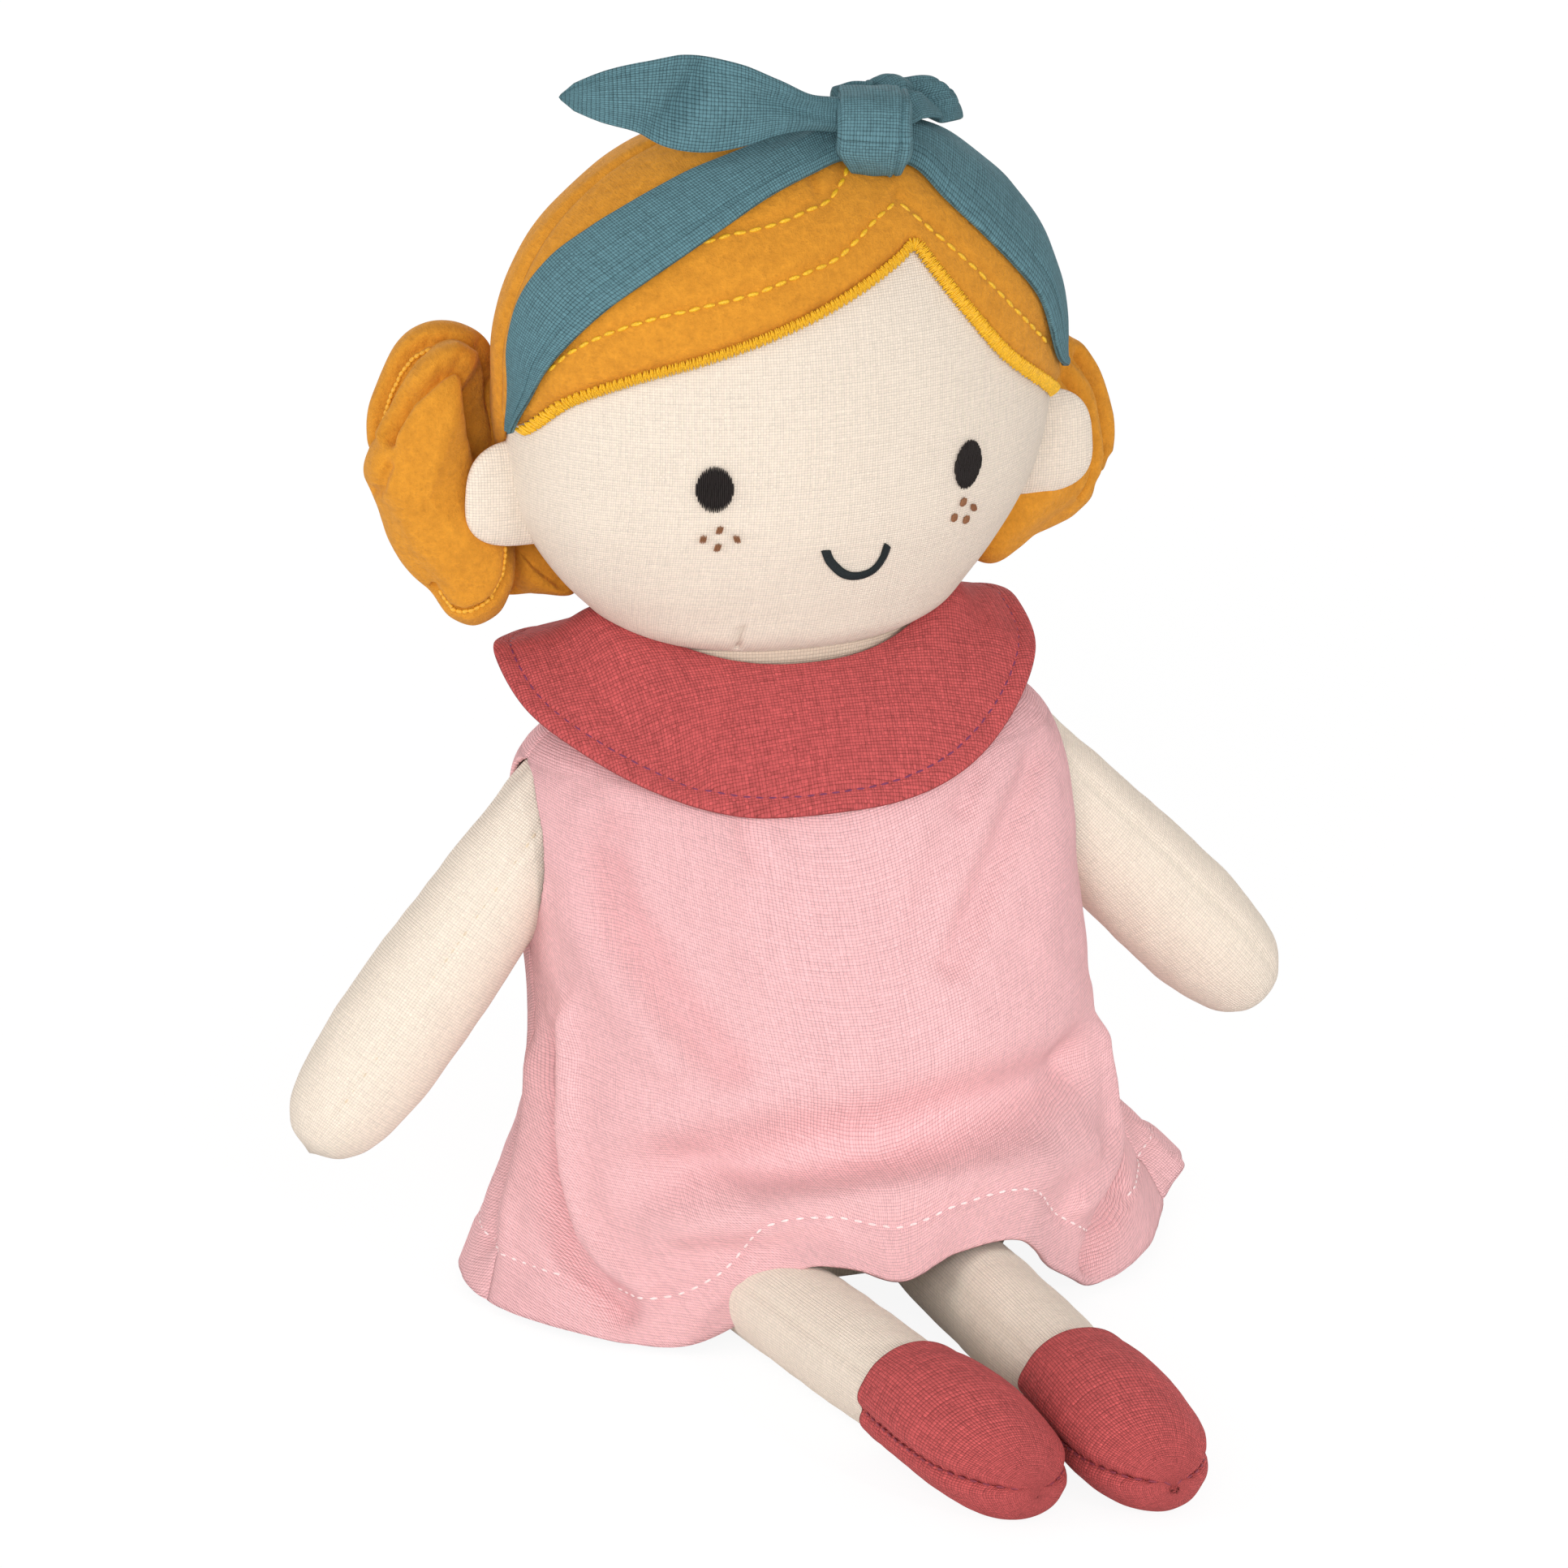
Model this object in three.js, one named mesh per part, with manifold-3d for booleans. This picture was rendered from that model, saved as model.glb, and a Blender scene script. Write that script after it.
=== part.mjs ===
// Seated rag doll: stuffed linen body and limbs, felt hair with two rolled buns, a knotted headband,
// a round collar over a sleeveless dress, and red shoes.
// Millimetres, +Z up. The doll faces -Y, its own left hand is on +X, and the origin is under its seat.
import * as THREE from "three";
import { mergeVertices } from "three/addons/utils/BufferGeometryUtils.js";
import Module from "manifold-3d";

const wasm = await Module();
wasm.setup();

// Cloth, felt and clearances
const LINEN = 1;
const FELT = 1.2;
const GAP = 0.3;
const FLAT_CUT = 0.5;
const OVERRUN = 40;
const MERGE_WITHIN = 0.001;
const FULL_TURN_DEGREES = 360;

// Torso
const TORSO_HEIGHT = 119.5;
const TORSO_HALF_WIDTH = 44.5;
const TORSO_HALF_DEPTH = 27.6;
const SEAT_CENTRE_Y = 3;
const NECK_CENTRE_Y = 26;
// Each row: share of height, of half width, of half depth, and of the way from seat to neck.
const TORSO_SHARES = [
  [0, 0.81, 0.725, 0],
  [0.035, 0.921, 0.88, 0.026],
  [0.068, 0.955, 0.928, 0.052],
  [0.125, 0.989, 0.957, 0.087],
  [0.295, 1, 1, 0.217],
  [0.5, 0.955, 0.942, 0.41],
  [0.71, 0.876, 0.797, 0.609],
  [0.84, 0.831, 0.688, 0.74],
  [0.91, 0.77, 0.61, 0.81],
  [0.96, 0.68, 0.54, 0.9],
  [0.99, 0.58, 0.46, 0.96],
  [1, 0.52, 0.41, 1],
];

// Head, and the height where it is widest
const HEAD_HALF_WIDTH = 56;
const HEAD_HALF_DEPTH = 38.3;
const HEAD_HEIGHT = 102;
const NECK_HEIGHT = 11.2;
const HEAD_WIDEST_SHARE = 0.532;
// Each row: share of half width, share of height.
const HEAD_SHARES = [
  [0.5, 0],
  [0.575, 0.05],
  [0.71, 0.132],
  [0.885, 0.288],
  [0.985, 0.44],
  [1, HEAD_WIDEST_SHARE],
  [0.985, 0.636],
  [0.925, 0.735],
  [0.825, 0.824],
  [0.69, 0.896],
  [0.52, 0.953],
  [0.3, 0.989],
  [0, 1],
];
const HEAD_SIDES = 28;
const HEAD_RINGS = 13;

// Neck: a plug that rocks on the torso. Each row: share of half width, of half depth, of depth below the top.
const NECK_SHARES = [
  [1, 1, 0],
  [0.97, 0.94, 0.28],
  [0.88, 0.74, 0.54],
  [0.76, 0.42, 0.82],
  [0.68, 0.14, 0.98],
];

// Arms, each straight from its shoulder: reach of the hand outwards, backwards and downwards
const ARM_HALF_THICKNESS = 12.6;
const SHOULDER_RADIUS = 9.4;
const SHOULDER_DROP = 15;
const SHOULDER_HEIGHT = TORSO_HEIGHT - SHOULDER_DROP;
const SHOULDER_Y = 20.5;
const RIGHT_HAND_REACH = { out: 54.5, back: 0, down: 70 };
const LEFT_HAND_REACH = { out: 62, back: 12, down: 65.5 };
const ARM_FLATNESS_SHARE = 0.88;
// Each row: share of the way from shoulder to fingertip, share of half thickness.
const ARM_SHARES = [
  [-0.075, 0.5],
  [0, 0.76],
  [0.12, 0.84],
  [0.3, 0.93],
  [0.52, 1],
  [0.72, 1],
  [0.88, 0.84],
  [0.96, 0.56],
  [1, 0],
];

// Legs and feet: the hip is at Y = -HIP_FORWARD, and each foot's toe is placed by the leg's reach
const LEG_RADIUS = 10.5;
const HIP_HALF_SPACING = 19.8;
const HIP_FORWARD = 19.6;
const HIP_HEIGHT = 6;
const HIP_HALF_HEIGHT = 1.2;
const HIP_HALF_WIDTH = 9;
const HIP_TURN_DEGREES = [-15, 0, 15, 30, 45, 60, 75, 90];
const RIGHT_LEG = { length: 66.6, shoe: 50, inward: 13 };
const LEFT_LEG = { length: 70.6, shoe: 51.5, inward: 1 };
const SHOE_HALF_WIDTH = 13.2;
const SHOE_HALF_HEIGHT = 11.4;
const SHOE_LAP = 6;
// Each row: share of leg length, share of the swell from hip half width to leg radius, the same for height.
const LEG_SHARES = [
  [0, 0, 0],
  [0.076, 0.25, 0.26],
  [0.15, 0.55, 0.52],
  [0.25, 0.9, 0.78],
  [0.38, 1.2, 0.95],
  [0.55, 1.15, 1],
  [0.8, 0.8, 0.98],
  [1, 0.6, 0.95],
];
// Each row: share of shoe length, share of half width, share of half height, share of the height of the middle.
const SHOE_SHARES = [
  [0, 0.87, 0.96, 0.96],
  [0.2, 0.97, 1.01, 1],
  [0.45, 1.02, 0.98, 0.95],
  [0.68, 0.97, 0.86, 0.85],
  [0.86, 0.76, 0.68, 0.73],
  [0.96, 0.42, 0.4, 0.7],
  [1, 0, 0, 0.7],
];
const SHOE_SEAM_SHARE = 0.4;

// Dress: rings from the neck opening to the lap, then the hem as places on the ground plan
const DRESS_CLOTH = 1.3;
const DRESS_HALF_WIDTH = 58;
const DRESS_FRONT = 44;
const DRESS_BACK = 25;
const DRESS_RISE = 0.5;
const DRESS_HEIGHT = TORSO_HEIGHT + DRESS_RISE;
const DRESS_CENTRE_Y = 20;
const HEM_HALF_WIDTH = 88;
const HEM_DEPTH = 56;
const HEM_LIFT = 23;
// Each row: share of height, of half width, of the front depth, of the back depth, squareness,
// side lift, and lean towards the doll's left.
const DRESS_SHARES = [
  [0.985, 0.53, 0.26, 0.84, 2, 0, 0],
  [0.945, 0.86, 0.4, 0.96, 2.3, 0.02, 0],
  [0.855, 0.97, 0.585, 1.04, 2.6, 0.03, 0],
  [0.67, 0.975, 0.75, 1, 2.8, 0, 0.03],
  [0.48, 0.975, 0.97, 0.92, 2.8, 0, 0.055],
  [0.345, 0.99, 1.09, 0.98, 2.6, -0.02, 0.06],
];
// One for each column of the hem: turn in degrees clockwise from the doll's left side, seen from above,
// then the place as shares of HEM_HALF_WIDTH, HEM_DEPTH and HEM_LIFT.
const HEM_SHARES = [
  [0, 0.89, 0.21, 0.24],
  [20, 0.705, -0.23, 0.14],
  [34, 0.57, -0.375, 0.12],
  [48, 0.44, -0.5, 0.42],
  [62, 0.295, -0.715, 0.97],
  [76, 0.135, -0.775, 1],
  [90, 0, -0.82, 0.86],
  [104, -0.115, -0.77, 0.97],
  [118, -0.205, -0.68, 0.9],
  [133, -0.305, -0.5, 0.3],
  [147, -0.42, -0.43, 0.07],
  [162, -0.57, -0.27, 0.07],
  [180, -0.75, 0.25, 0.07],
  [208, -0.68, 0.75, 0.1],
  [248, -0.28, 0.96, 0.12],
  [292, 0.23, 1, 0.14],
  [328, 0.7, 0.89, 0.22],
  [346, 1, 0.55, 0.4],
];
const ARMHOLE_HALF_DEPTH = 15;
const ARMHOLE_TOP_DROP = 8.5;
const ARMHOLE_LENGTH = 36;

// Collar: a round two-ply brim. Each row: turn in degrees from the doll's left over its back,
// then the outer edge's place as shares of COLLAR_HALF_WIDTH, COLLAR_DEPTH and COLLAR_DROP.
const COLLAR_CLOTH = 1.8;
const COLLAR_HALF_WIDTH = 58;
const COLLAR_DEPTH = 34;
const COLLAR_DROP = 28;
const COLLAR_SHARES = [
  [0, 0.9, 0.02, 0.05],
  [30, 0.87, 0.42, 0.02],
  [60, 0.5, 0.84, 0.22],
  [90, 0, 0.97, 0.36],
  [120, -0.53, 0.8, 0.18],
  [150, -0.88, 0.42, 0],
  [180, -1.01, 0.02, -0.02],
  [205, -0.97, -0.42, 0.24],
  [228, -0.74, -0.76, 0.62],
  [249, -0.45, -0.94, 0.86],
  [270, 0, -1.01, 1],
  [291, 0.42, -0.94, 0.86],
  [312, 0.69, -0.72, 0.55],
  [335, 0.86, -0.38, 0.2],
];

// Face stitching, as shares of the head's half width and height
const EYE_HALF_WIDTH = 3.5;
const EYE_HALF_HEIGHT = 4.9;
const STITCH_RISE = 0.8;
const EYE_SHARES = [
  ["right_eye", -0.445, 0.386],
  ["left_eye", 0.498, 0.381],
];
const FRECKLE_HALF_WIDTH = 0.8;
const FRECKLE_HALF_HEIGHT = 1.1;
const FRECKLE_SHARES = [
  ["right_freckle", [[-0.47, 0.281], [-0.42, 0.301], [-0.359, 0.281], [-0.42, 0.263]]],
  ["left_freckle", [[0.459, 0.272], [0.491, 0.302], [0.543, 0.283], [0.516, 0.26]]],
];
const SMILE_HALF_WIDTH = 0.8;
const SMILE_SHARES = [[-0.041, 0.244], [-0.016, 0.218], [0.038, 0.189], [0.093, 0.179],
  [0.148, 0.186], [0.18, 0.209], [0.193, 0.239]];
const HAIRLINE_HALF_WIDTH = 1.2;
const HAIRLINE_SHARES = [[-0.968, 0.47], [-0.888, 0.544], [-0.705, 0.601], [-0.502, 0.639], [-0.284, 0.679],
  [-0.079, 0.721], [0.111, 0.767], [0.246, 0.804], [0.309, 0.821], [0.37, 0.777], [0.486, 0.693],
  [0.657, 0.585], [0.868, 0.493], [0.958, 0.455]];

// Ears, sewn into the side seam
const EAR_HALF_WIDTH = 12.5;
const EAR_HALF_DEPTH = 3.2;
const EAR_HALF_HEIGHT = 11.5;
const EAR_SHARES = { across: 0.946, back: 0.05, height: 0.338 };

// Headband and bow
const BAND_CLOTH = 1.6;
// Each row: the band's front edge, then its back edge, as shares of head half width, half depth and height.
const BAND_SHARES = [
  [[-0.985, -0.2, 0.47], [-1, -0.05, 0.49]],
  [[-0.95, -0.311, 0.536], [-0.985, -0.1, 0.57]],
  [[-0.914, -0.391, 0.596], [-0.975, -0.11, 0.65]],
  [[-0.852, -0.477, 0.653], [-0.936, -0.156, 0.72]],
  [[-0.735, -0.572, 0.724], [-0.864, -0.202, 0.79]],
  [[-0.611, -0.636, 0.777], [-0.74, -0.3, 0.85]],
  [[-0.478, -0.668, 0.825], [-0.6, -0.355, 0.895]],
  [[-0.335, -0.665, 0.87], [-0.45, -0.38, 0.935]],
  [[-0.183, -0.627, 0.91], [-0.27, -0.38, 0.965]],
  [[-0.025, -0.575, 0.937], [-0.07, -0.33, 0.992]],
  [[0.1, -0.52, 0.952], [0.1, -0.26, 1]],
  [[0.24, -0.5, 0.95], [0.26, -0.2, 0.99]],
  [[0.36, -0.5, 0.93], [0.45, -0.1, 0.965]],
  [[0.45, -0.6, 0.875], [0.6, -0.05, 0.935]],
  [[0.56, -0.635, 0.81], [0.72, -0.08, 0.88]],
  [[0.678, -0.621, 0.74], [0.8, -0.12, 0.83]],
  [[0.8, -0.55, 0.66], [0.9, -0.1, 0.75]],
  [[0.87, -0.48, 0.59], [0.96, -0.08, 0.66]],
  [[0.945, -0.33, 0.52], [0.99, -0.06, 0.57]],
  [[0.985, -0.2, 0.47], [1, -0.05, 0.49]],
];
const KNOT_HALF_WIDTH = 7.6;
const KNOT_HALF_DEPTH = 8.6;
const KNOT_HALF_HEIGHT = 7.8;
const KNOT_SHARES = { across: 0.23, back: -0.53 };
const TAIL_CLOTH = 2.4;
const TAIL_HALF_WIDTH = 9.2;
const TAIL_LENGTH = 56;
const TAIL_ROOT_HALF_WIDTH = 3.4;
// Each row: share of length, share of half width.
const TAIL_SHARES = [[0, 0], [0.1, 0.25], [0.3, 0.8], [0.52, 1], [0.72, 0.86], [0.9, 0.36], [1, -0.3]];
// The way each tail leaves the knot: its start above the knot's middle as a share of the knot's half height,
// then shares of its length along X, along Y, and its rise at its middle and its tip. Upright is how far its
// width is turned up from level, and wide is its share of TAIL_HALF_WIDTH.
const RIGHT_TAIL_SHARES = {
  start: 0.5, x: -0.955, y: 0.155, middle: 0.09, tip: 0.107, upright: 0.9, wide: 1,
};
const LEFT_TAIL_SHARES = {
  start: 0.3, x: 0.407, y: 0.363, middle: 0.09, tip: -0.146, upright: 0.8, wide: 0.62,
};

// Buns: one rolled lobe with an end tucked under the ear, and a second roll wrapped round its back and top
const BUN_RADIUS = 14;
const BUN_HEIGHT = 54;
const BUN_OUT = 58;
const BUN_BACK = 17;
const BUN_LOW = 4;
const BUN_WRAP_RADIUS = 8.5;
// Each row: shares of BUN_HEIGHT outwards, backwards and upwards from the bun's low point, share of radius.
const BUN_LOBE_SHARES = [
  [0.09, 0.02, 0.99, 0.35],
  [0.03, 0.0, 0.93, 0.7],
  [-0.03, -0.02, 0.8, 0.92],
  [0.02, -0.04, 0.6, 1.05],
  [0.07, -0.04, 0.42, 1.08],
  [0.02, -0.02, 0.26, 1],
  [-0.1, 0.0, 0.19, 0.95],
  [-0.26, 0.02, 0.2, 0.75],
  [-0.44, 0.02, 0.1, 0.25],
];
const BUN_WRAP_SHARES = [
  [-0.16, 0.12, 0.76, 0.6],
  [-0.06, 0.14, 0.89, 0.85],
  [0.1, 0.1, 0.88, 0.95],
  [0.2, 0.06, 0.78, 0.95],
  [0.25, 0.05, 0.6, 0.85],
  [0.23, 0.06, 0.42, 0.6],
];

// Colours
const LINEN_CREAM = 0xf2e2d2;
const MUSTARD = 0xeaa338;
const TEAL = 0x5f8794;
const BRICK_RED = 0xc25654;
const ROSE_PINK = 0xf4c1c3;
const GOLD = 0xf1b827;
const BLACK = 0x2a201f;
const BLUE_BLACK = 0x3d4242;
const BROWN = 0xad6d4a;
const FIBRE_WHITE = 0xf4f2ee;

const vec = (x, y, z) => new THREE.Vector3(x, y, z);
const neckTop = vec(0, NECK_CENTRE_Y, TORSO_HEIGHT + GAP + NECK_HEIGHT);
const headBase = vec(0, NECK_CENTRE_Y, neckTop.z + GAP);

// Solids and meshes

function solidOfTriangles(points, triangles) {
  const geometry = new THREE.BufferGeometry().setFromPoints(points).setIndex(triangles.flat());
  return solidOfGeometry(geometry);
}

function solidOfGeometry(source) {
  const bare = source.clone();
  bare.deleteAttribute("normal");
  bare.deleteAttribute("uv");
  const merged = mergeVertices(bare, MERGE_WITHIN);
  const corners = Array.from(merged.index.array);
  const kept = [];
  for (let i = 0; i < corners.length; i += 3) {
    const [a, b, c] = corners.slice(i, i + 3);
    if (a !== b && b !== c && c !== a) kept.push(a, b, c);
  }
  const mesh = (order) => new wasm.Mesh({
    numProp: 3,
    vertProperties: merged.attributes.position.array,
    triVerts: new Uint32Array(order),
  });
  const solid = new wasm.Manifold(mesh(kept));
  return solid.volume() < 0 ? new wasm.Manifold(mesh(kept.reverse())) : solid;
}

function geometryOfSolid(solid) {
  const { numProp, vertProperties, triVerts } = solid.getMesh();
  const points = [];
  for (let i = 0; i < vertProperties.length; i += numProp) {
    points.push(vec(vertProperties[i], vertProperties[i + 1], vertProperties[i + 2]));
  }
  const geometry = new THREE.BufferGeometry().setFromPoints(points).setIndex(Array.from(triVerts));
  geometry.computeVertexNormals();
  return geometry;
}

// A solid through rings with equal counts of points, with a fan over each end
function solidOfRings(rings) {
  const count = rings[0].length;
  const points = rings.flat();
  const triangles = [];
  for (let i = 0; i + 1 < rings.length; i++) {
    for (let j = 0; j < count; j++) {
      const a = i * count + j;
      const b = i * count + ((j + 1) % count);
      triangles.push([a, b, a + count], [b, b + count, a + count]);
    }
  }
  const last = (rings.length - 1) * count;
  const ends = [[rings[0], 0, 1], [rings[rings.length - 1], last, -1]];
  for (const [ring, start, turn] of ends) {
    const middle = points.length;
    points.push(ring.reduce((sum, p) => sum.add(p), vec(0, 0, 0)).divideScalar(count));
    for (let j = 0; j < count; j++) {
      const a = start + j;
      const b = start + ((j + 1) % count);
      triangles.push(turn > 0 ? [b, a, middle] : [a, b, middle]);
    }
  }
  return solidOfTriangles(points, triangles);
}

// A sheet between two grids of points, closed along its edges, or round itself where around is true
function solidOfSheet(top, bottom, around = false) {
  const rows = top.length;
  const columns = top[0].length;
  const points = [...top.flat(), ...bottom.flat()];
  const under = rows * columns;
  const at = (i, j) => i * columns + (j % columns);
  const triangles = [];
  const face = (a, b, c, d) => triangles.push([a, b, c], [a, c, d]);
  const spans = around ? columns : columns - 1;
  for (let i = 0; i + 1 < rows; i++) {
    for (let j = 0; j < spans; j++) {
      const [a, b, c, d] = [at(i, j), at(i, j + 1), at(i + 1, j + 1), at(i + 1, j)];
      face(a, b, c, d);
      face(under + d, under + c, under + b, under + a);
    }
  }
  for (let j = 0; j < spans; j++) {
    face(at(0, j), under + at(0, j), under + at(0, j + 1), at(0, j + 1));
    face(at(rows - 1, j + 1), under + at(rows - 1, j + 1), under + at(rows - 1, j), at(rows - 1, j));
  }
  for (let i = 0; !around && i + 1 < rows; i++) {
    face(at(i + 1, 0), under + at(i + 1, 0), under + at(i, 0), at(i, 0));
    const end = columns - 1;
    face(at(i, end), under + at(i, end), under + at(i + 1, end), at(i + 1, end));
  }
  return solidOfTriangles(points, triangles);
}

function box(low, high) {
  const size = high.clone().sub(low);
  const geometry = new THREE.BoxGeometry(size.x, size.y, size.z);
  const middle = low.clone().add(high).divideScalar(2);
  return solidOfGeometry(geometry.translate(middle.x, middle.y, middle.z));
}

const reach = HEAD_HEIGHT + TORSO_HEIGHT + OVERRUN;
const aboveFloor = box(vec(-reach, -reach, 0), vec(reach, reach, reach));
const ellipsoid = (centre, half, sides, rings) =>
  solidOfGeometry(new THREE.SphereGeometry(1, sides, rings)
    .scale(half.x, half.y, half.z).translate(centre.x, centre.y, centre.z));

// A stuffed form along stations, each with a centre, two unit directions across it and two half sizes.
// grow makes it fatter, and the overruns lengthen its two ends.
function stuffedForm(stations, sides, rings, grow = 0, startOverrun = 0, endOverrun = 0) {
  const centres = new THREE.CatmullRomCurve3(stations.map((s) => s.centre));
  const sizes = new THREE.CatmullRomCurve3(stations.map((s) => vec(s.half[0], s.half[1], 0)));
  const { across, up } = stations[0];
  const made = [];
  const push = (t, along) => {
    const centre = centres.getPoint(t).addScaledVector(centres.getTangent(t), along);
    made.push({ centre, size: sizes.getPoint(t) });
  };
  if (startOverrun > 0) push(0, -grow - startOverrun);
  push(0, -grow);
  for (let i = 1; i < rings; i++) push(i / rings, 0);
  push(1, grow);
  if (endOverrun > 0) push(1, grow + endOverrun);
  const toRing = ({ centre, size }) => {
    const ring = [];
    for (let j = 0; j < sides; j++) {
      const turn = (j / sides) * 2 * Math.PI;
      ring.push(centre.clone()
        .addScaledVector(across, Math.max(size.x + grow, 0) * Math.cos(turn))
        .addScaledVector(up, Math.max(size.y + grow, 0) * Math.sin(turn)));
    }
    return ring;
  };
  return solidOfRings(made.map(toRing));
}

// Torso

function torsoForm(grow = 0, topOverrun = 0) {
  const rows = TORSO_SHARES.map(([height, width, depth, way]) => ({
    z: height * (TORSO_HEIGHT + FLAT_CUT) - FLAT_CUT,
    y: SEAT_CENTRE_Y + way * (NECK_CENTRE_Y - SEAT_CENTRE_Y),
    x: width * TORSO_HALF_WIDTH,
    d: depth * TORSO_HALF_DEPTH,
  }));
  const last = rows[rows.length - 1];
  if (topOverrun > 0) rows.push({ ...last, z: last.z + topOverrun });
  rows[0].z -= grow;
  const sides = 22;
  return solidOfRings(rows.map(({ x, y, z, d }) => {
    const ring = [];
    for (let j = 0; j < sides; j++) {
      const turn = (j / sides) * 2 * Math.PI;
      ring.push(vec((x + grow) * Math.cos(turn), y + (d + grow) * Math.sin(turn), z));
    }
    return ring;
  }));
}

// The torso's half width at a height, with its middle's Y and half depth
function torsoAt(z) {
  const share = z / TORSO_HEIGHT;
  const next = TORSO_SHARES.findIndex(([height]) => height >= share);
  const [low, high] = [TORSO_SHARES[next - 1], TORSO_SHARES[next]];
  const mix = (share - low[0]) / (high[0] - low[0]);
  const [, width, depth, way] = low.map((value, i) => value + mix * (high[i] - value));
  return {
    halfWidth: width * TORSO_HALF_WIDTH,
    halfDepth: depth * TORSO_HALF_DEPTH,
    y: SEAT_CENTRE_Y + way * (NECK_CENTRE_Y - SEAT_CENTRE_Y),
  };
}

const torsoOuter = torsoForm().intersect(aboveFloor);
const torsoClear = torsoForm(GAP);
const torsoSkin = torsoOuter.subtract(torsoForm(-LINEN, OVERRUN));
const belowNeck = box(vec(-reach, -reach, -reach), vec(reach, reach, TORSO_HEIGHT - GAP));
const torsoStuffing = torsoForm(-LINEN - GAP).intersect(belowNeck);

// Neck

const headFoot = { x: HEAD_SHARES[0][0] * HEAD_HALF_WIDTH, y: HEAD_SHARES[0][0] * HEAD_HALF_DEPTH };

function neckForm(grow = 0, topOverrun = 0) {
  const rows = NECK_SHARES.map(([width, depth, drop]) => ({
    x: width * headFoot.x + grow,
    y: Math.max(depth * headFoot.y + grow, LINEN),
    z: neckTop.z - drop * (NECK_HEIGHT + grow),
  }));
  if (topOverrun > 0) rows.unshift({ ...rows[0], z: rows[0].z + topOverrun });
  const sides = 24;
  return solidOfRings(rows.map(({ x, y, z }) => {
    const ring = [];
    for (let j = 0; j < sides; j++) {
      const turn = (j / sides) * 2 * Math.PI;
      ring.push(vec(x * Math.cos(turn), NECK_CENTRE_Y + y * Math.sin(turn), z));
    }
    return ring;
  }));
}

const neckBand = neckForm().subtract(neckForm(-LINEN, OVERRUN));
const belowHead = box(vec(-reach, -reach, -reach), vec(reach, reach, neckTop.z - GAP));
const neckStuffing = neckForm(-LINEN - GAP).intersect(belowHead);

// Head surface

const headProfile = new THREE.SplineCurve(
  HEAD_SHARES.map(([width, height]) => new THREE.Vector2(width * HEAD_HALF_WIDTH, height * HEAD_HEIGHT)),
);
const depthShare = HEAD_HALF_DEPTH / HEAD_HALF_WIDTH;

// The head's two half sizes and height at a share of its profile, moved out by an outset
function headRow(share, outset) {
  const place = headProfile.getPoint(share);
  const tangent = headProfile.getTangent(share);
  return {
    x: Math.max(place.x + outset * tangent.y, 0),
    y: Math.max(place.x * depthShare + outset * tangent.y, 0),
    z: place.y - outset * tangent.x,
  };
}

const HEAD_SAMPLES = 200;
const sampledOutsets = new Map();

// The head's two half sizes at a height above its base, for a surface moved out by an outset
function headSectionAt(z, outset) {
  if (!sampledOutsets.has(outset)) {
    const samples = [];
    for (let i = 0; i <= HEAD_SAMPLES; i++) samples.push(headRow(i / HEAD_SAMPLES, outset));
    sampledOutsets.set(outset, samples);
  }
  const samples = sampledOutsets.get(outset);
  const next = samples.findIndex((row) => row.z >= z);
  if (next < 0) return { x: 0, y: 0 };
  if (next === 0) return samples[0];
  const [low, high] = [samples[next - 1], samples[next]];
  const mix = (z - low.z) / (high.z - low.z);
  return { x: low.x + mix * (high.x - low.x), y: low.y + mix * (high.y - low.y) };
}

function headForm(outset, bottomOverrun = 0) {
  const rows = [];
  for (let i = 0; i <= HEAD_RINGS; i++) {
    rows.push(i === HEAD_RINGS
      ? { x: 0, y: 0, z: HEAD_HEIGHT + outset }
      : headRow(i / HEAD_RINGS, outset));
  }
  if (bottomOverrun > 0) rows.unshift({ ...rows[0], z: rows[0].z - bottomOverrun });
  return solidOfRings(rows.map(({ x, y, z }) => {
    const ring = [];
    for (let j = 0; j < HEAD_SIDES; j++) {
      const turn = (j / HEAD_SIDES) * 2 * Math.PI;
      ring.push(vec(headBase.x + x * Math.cos(turn), headBase.y + y * Math.sin(turn), headBase.z + z));
    }
    return ring;
  }));
}

// A point on the face, given by its place across and above the head's base
function facePoint(x, z, outset) {
  const section = headSectionAt(z, outset);
  const side = Math.min(Math.abs(x) / section.x, 1);
  return vec(headBase.x + x, headBase.y - section.y * Math.sqrt(1 - side * side), headBase.z + z);
}

// A point on the head in the direction of a place given in shares of its sizes
function onHead([across, back, height], outset) {
  const middle = HEAD_WIDEST_SHARE * HEAD_HEIGHT;
  const way = vec(across * HEAD_HALF_WIDTH, back * HEAD_HALF_DEPTH, height * HEAD_HEIGHT - middle);
  let [inside, outside] = [0, 2];
  while (outside - inside > 1e-6) {
    const k = (inside + outside) / 2;
    const section = headSectionAt(middle + k * way.z, outset);
    const within = section.x > 0 && ((k * way.x) / section.x) ** 2 + ((k * way.y) / section.y) ** 2 < 1;
    if (within) inside = k;
    else outside = k;
  }
  return vec(headBase.x, headBase.y, headBase.z + middle).addScaledVector(way, inside);
}

const feltTop = GAP + FELT;
const seamPlane = headBase.y;
const frontHalf = box(vec(-reach, -reach, headBase.z), vec(reach, seamPlane - GAP / 2, reach));
const backHalf = box(vec(-reach, seamPlane + GAP / 2, headBase.z), vec(reach, reach, reach));
const headHollow = headForm(-LINEN, OVERRUN);
const headStuffing = headForm(-LINEN - GAP);
const facePanel = headForm(0).subtract(headHollow).intersect(frontHalf);
const hairBack = headForm(feltTop).subtract(headHollow).intersect(backHalf);

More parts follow.
